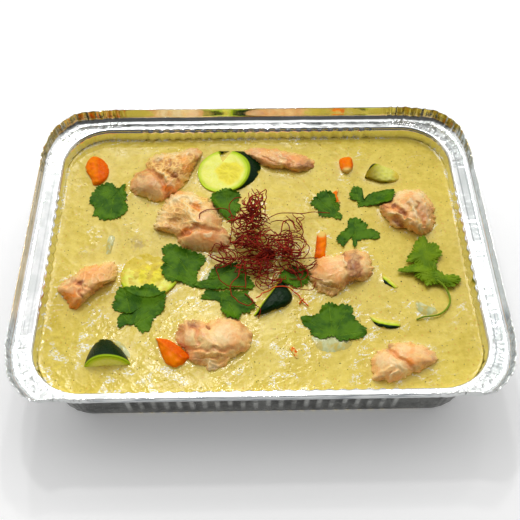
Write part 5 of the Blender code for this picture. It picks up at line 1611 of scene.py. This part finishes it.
def make_nest(heights, material):
    """Fine curled threads in tufts. Each is a curve whose heading swings to and fro, pulled back to
    its tuft. The single strands follow routes, and all together are one piece."""
    chance = np.random.default_rng(7)
    ground = blurred(spread_out(heights.grid, 2), 5)
    t = np.linspace(0.0, 1.0, THREAD_PLACES)
    paths, sizes, tones = [], [], []
    for cx, cy, wide, deep, low, high, count in TUFTS:

        def draw(spread):
            return chance.normal(0.0, spread, count)[:, None]

        def pick(low, high):
            return chance.uniform(low, high, count)[:, None]

        step = pick(*THREAD_LENGTH) / THREAD_PLACES
        heading = pick(0.0, 2 * math.pi) + draw(3.6) * (t - 0.5)
        for wave, swing in ((2, 0.7), (3, 0.35), (5, 0.15)):
            phase = pick(0, 6.28)
            heading = heading + draw(swing) * np.sin(wave * math.pi * t + phase)
        x = np.cumsum(np.cos(heading) * step, axis=1)
        y = np.cumsum(np.sin(heading) * step, axis=1)
        x = (x - x.mean(axis=1, keepdims=True)) * min(1.0, wide / deep) + draw(0.45 * wide)
        y = (y - y.mean(axis=1, keepdims=True)) * min(1.0, deep / wide) + draw(0.45 * deep)
        away = np.hypot(x / wide, y / deep)
        pull = 1.9 * np.tanh(away / 1.9) / np.maximum(away, 1e-6)
        x, y, away = x * pull, y * pull, away * pull
        level = pick(0.0, 1.0)
        level = level + draw(0.16) * np.sin(2 * math.pi * t + pick(0, 6.28))
        level = np.clip(level, 0.0, 1.0) * np.clip(1.15 - 0.5 * away, 0.3, 1.0)
        paths.append(laid(x + cx, y + cy, low + (high - low) * level, ground, heights))
        sizes.append(pick(*THREAD_RADIUS) * (0.75 + 0.25 * np.sin(math.pi * t)))
        tones.append(chance.uniform(0.0, 0.85, count))
    for tone, radius, first, last, route in STRANDS:
        x, y = smooth_route(route, THREAD_PLACES).T
        wavy = ripples(np.column_stack((x, y)), 9.0, 50 + len(paths)) * 0.35
        high = np.maximum(first + (last - first) * t + 0.5 * np.sin(9.0 * t), 0.6)
        paths.append(laid(x + wavy, y, high, ground, heights)[None])
        sizes.append(np.full((1, THREAD_PLACES), radius))
        tones.append(np.array([tone]))
    paths, tones = np.concatenate(paths), np.concatenate(tones)
    paths[..., 2] = np.minimum(paths[..., 2], CURRY_LEVEL + NEST_TOP)
    points, faces = tubes(paths, np.concatenate(sizes), THREAD_SIDES)
    tone = np.repeat(tones, len(points) // len(tones))
    new_piece("chilli_thread_heap", points, faces, material, ("chilli_threads",), {"tone": tone})

    rows, columns = 36, 70
    directions = np.concatenate((sphere_directions(rows, columns).reshape(-1, 3), [(0, 0, 1), (0, 0, -1)]))
    core = directions * CORE_HALF
    core = core * (1 + 0.10 * ripples(core, 6.0, 401) + 0.08 * ripples(core, 3.0, 402))[:, None]
    core = core + CORE_PLACE + (0.0, 0.0, CURRY_LEVEL)
    body, faces = closed_skin(core[:-2].reshape(rows, columns, 3), core[-2], core[-1])
    new_piece("chilli_thread_core", body, faces, material, (), {"tone": np.zeros(len(body))})


def sphere_directions(rows, columns):
    """Unit directions on a grid from straight up to straight down, without the two poles."""
    polar = np.linspace(0.0, math.pi, rows + 2)[1:-1, None]
    round_it = 2 * math.pi * np.arange(columns)[None, :] / columns
    x, y = np.sin(polar) * np.cos(round_it), np.sin(polar) * np.sin(round_it)
    return np.stack((x, y, np.broadcast_to(np.cos(polar), x.shape)), axis=-1)


# ---------------------------------------------------------------- crumbs


def make_crumbs(heights, material):
    """Bits of herb, spice and onion on the sauce: flat grains of eight faces, half sunk."""
    chance = np.random.default_rng(31)
    spot = chance.uniform(-1.0, 1.0, (CRUMBS * 2, 2)) * (MOUTH_HALF - 6.0)
    clear = heights.at(spot[:, 0], spot[:, 1]) - still_sauce(spot[:, 0], spot[:, 1]) < 0.3
    spot = spot[clear][:CRUMBS]
    count = len(spot)
    size = chance.uniform(*CRUMB_SIZE, count)[:, None] * np.array([[1.0, 0.7, 0.35]])
    turn = chance.uniform(0, 2 * math.pi, count)
    corner = np.array([(1, 0, 0), (0, 1, 0), (-1, 0, 0), (0, -1, 0), (0, 0, 1), (0, 0, -1)], float)
    grain = corner[None] * size[:, None]
    c, s = np.cos(turn)[:, None], np.sin(turn)[:, None]
    x, y = grain[..., 0] * c - grain[..., 1] * s, grain[..., 0] * s + grain[..., 1] * c
    z = grain[..., 2] + (still_sauce(spot[:, 0], spot[:, 1]) + 0.12)[:, None]
    points = np.stack((x + spot[:, :1], y + spot[:, 1:], z), axis=-1)
    one = np.array([(0, 1, 4), (1, 2, 4), (2, 3, 4), (3, 0, 4), (1, 0, 5), (2, 1, 5), (3, 2, 5), (0, 3, 5)])
    faces = (one[None] + (np.arange(count) * 6)[:, None, None]).reshape(-1, 3)
    tone = np.repeat(chance.uniform(0.0, 1.0, count), 6)
    new_piece("herb_crumbs", points, [faces], material, (), {"tone": tone})


# ---------------------------------------------------------------- the stage


def make_stage():
    """A pale floor, a bright surround that is darker behind the camera, and soft studio light."""
    floor_mesh = bpy.data.meshes.new("floor")
    corners = [(x * FLOOR_HALF, y * FLOOR_HALF, 0.0) for x, y in ((-1, -1), (1, -1), (1, 1), (-1, 1))]
    floor_mesh.from_pydata(corners, [], [(0, 1, 2, 3)])
    floor = bpy.data.objects.new("floor", floor_mesh)
    bpy.context.scene.collection.objects.link(floor)
    pale = Kit("floor", Roughness=0.9, Base_Color=FLOOR_GREY, Emission_Color=WHITE, Emission_Strength=0.22)
    floor_mesh.materials.append(pale.material)

    world = bpy.data.worlds.new("studio")
    bpy.context.scene.world = world
    world.use_nodes = True
    sky = Tree(world.node_tree)
    direction = sky.node("ShaderNodeTexCoord", {}, {}, "Generated")
    forward = sky.node("ShaderNodeSeparateXYZ", {}, {0: direction}, "Y")
    share = sky.node("ShaderNodeMapRange", {}, {"Value": forward, "From Min": -1.0})
    shade = sky.node("ShaderNodeValToRGB", {"stops": ((0.34, BEHIND_CAMERA), (0.60, WHITE))}, {0: share})
    seen = sky.node("ShaderNodeLightPath", {}, {}, "Is Camera Ray")
    colour = sky.node("ShaderNodeMix", {"data_type": "RGBA"}, {0: seen, 6: shade, 7: WHITE}, 2)
    background = sky.nodes["Background"].inputs
    sky.set(background["Color"], colour)
    sky.set(background["Strength"], 1.0)

    for name, place, size, energy in LAMPS:
        lamp = bpy.data.lights.new(name, "AREA")
        lamp.shape, lamp.size, lamp.energy = "DISK", size, energy
        holder = bpy.data.objects.new(name, lamp)
        bpy.context.scene.collection.objects.link(holder)
        holder.location = place
        holder.rotation_euler = look_along(np.array(LAMPS_AIM) - place)


def look_along(direction):
    """Euler angles of an object whose -Z looks along a direction."""
    x, y, z = direction
    return math.atan2(math.hypot(x, y), -z), 0.0, math.atan2(-x, y)


def make_camera():
    """The camera looks down on the tray from in front."""
    camera = bpy.data.objects.new("camera", bpy.data.cameras.new("camera"))
    bpy.context.scene.collection.objects.link(camera)
    camera.location = np.array(CAMERA_PLACE) * MM + MOUTH_CENTRE
    camera.rotation_euler = [math.radians(angle) for angle in CAMERA_TURN]
    camera.data.sensor_width = 36.0
    camera.data.lens = CAMERA_LENS
    camera.data.clip_start = 0.01
    bpy.context.scene.camera = camera


# ---------------------------------------------------------------- making it all


def main():
    """Makes every piece, those below before those that lie on them."""
    make_camera()
    make_stage()
    bpy.context.scene.view_settings.view_transform = "Standard"

    make_tray_body(inside_material(), outside_material())
    make_tray_rim(rim_material())

    heights = HeightMap(still_sauce)
    meat = chicken_material()
    for number, (name, plan) in enumerate(CHICKEN.items()):
        heights.add(make_chicken(name, plan, number, meat))
    green = zucchini_material()
    for number, (name, sizes) in enumerate(SLICES.items()):
        place, radius, thickness, raised, tilt, slant, offset, least = sizes
        notch = name == "zucchini_round"
        points, masks = slice_skin(radius, thickness, 1.0, number, slant, offset, 0.0, notch)
        masks["seed"] = masks["seed"] * (0.6 if notch else 1.0)
        placed = place_slice(points, place, raised, tilt)
        heights.add(finish_slice(name, placed, masks, number, green, least))
    for number, (name, (place, radius, length, share, back, sink, over)) in enumerate(CHUNKS.items()):
        points, masks = slice_skin(radius, length, share, 10 + number, (0.0, 0.18), over=over)
        masks["middle"] = masks["middle"] * 0.15
        placed = place_chunk(points, place, back, sink)
        heights.add(finish_slice(name, placed, masks, 10 + number, green, 0.4))
    for number, (name, plan) in enumerate(RINDS.items()):
        heights.add(make_rind(name, *plan, number, green))
    orange = carrot_material()
    for number, (name, plan) in enumerate(CARROT.items()):
        heights.add(make_block(name, *plan, number, orange))
    pale = onion_material()
    for number, (name, plan) in enumerate(ONION.items()):
        heights.add(make_onion(name, *plan, number, pale))
    make_sauce(heights, sauce_material())
    make_crumbs(heights, crumb_material())

    herb = leaf_material("coriander", (44, 88, 4), (84, 126, 8), (120, 158, 44))
    young = leaf_material("coriander_young", (88, 122, 6), (120, 150, 12), (150, 176, 50))
    for number, (name, plan) in enumerate(CORIANDER.items()):
        make_leaflet(name, name, *plan, heights, number, herb)
    below = heights.grid.copy()
    for number, plan in enumerate(SPRIG_LEAFLETS):
        heights.grid = below.copy()
        make_leaflet(f"{SPRIG}_{number + 1}", SPRIG, *plan, heights, 20 + number, young, SPRIG_LIFT)
    make_stalk(young)
    make_nest(heights, chilli_material())


main()
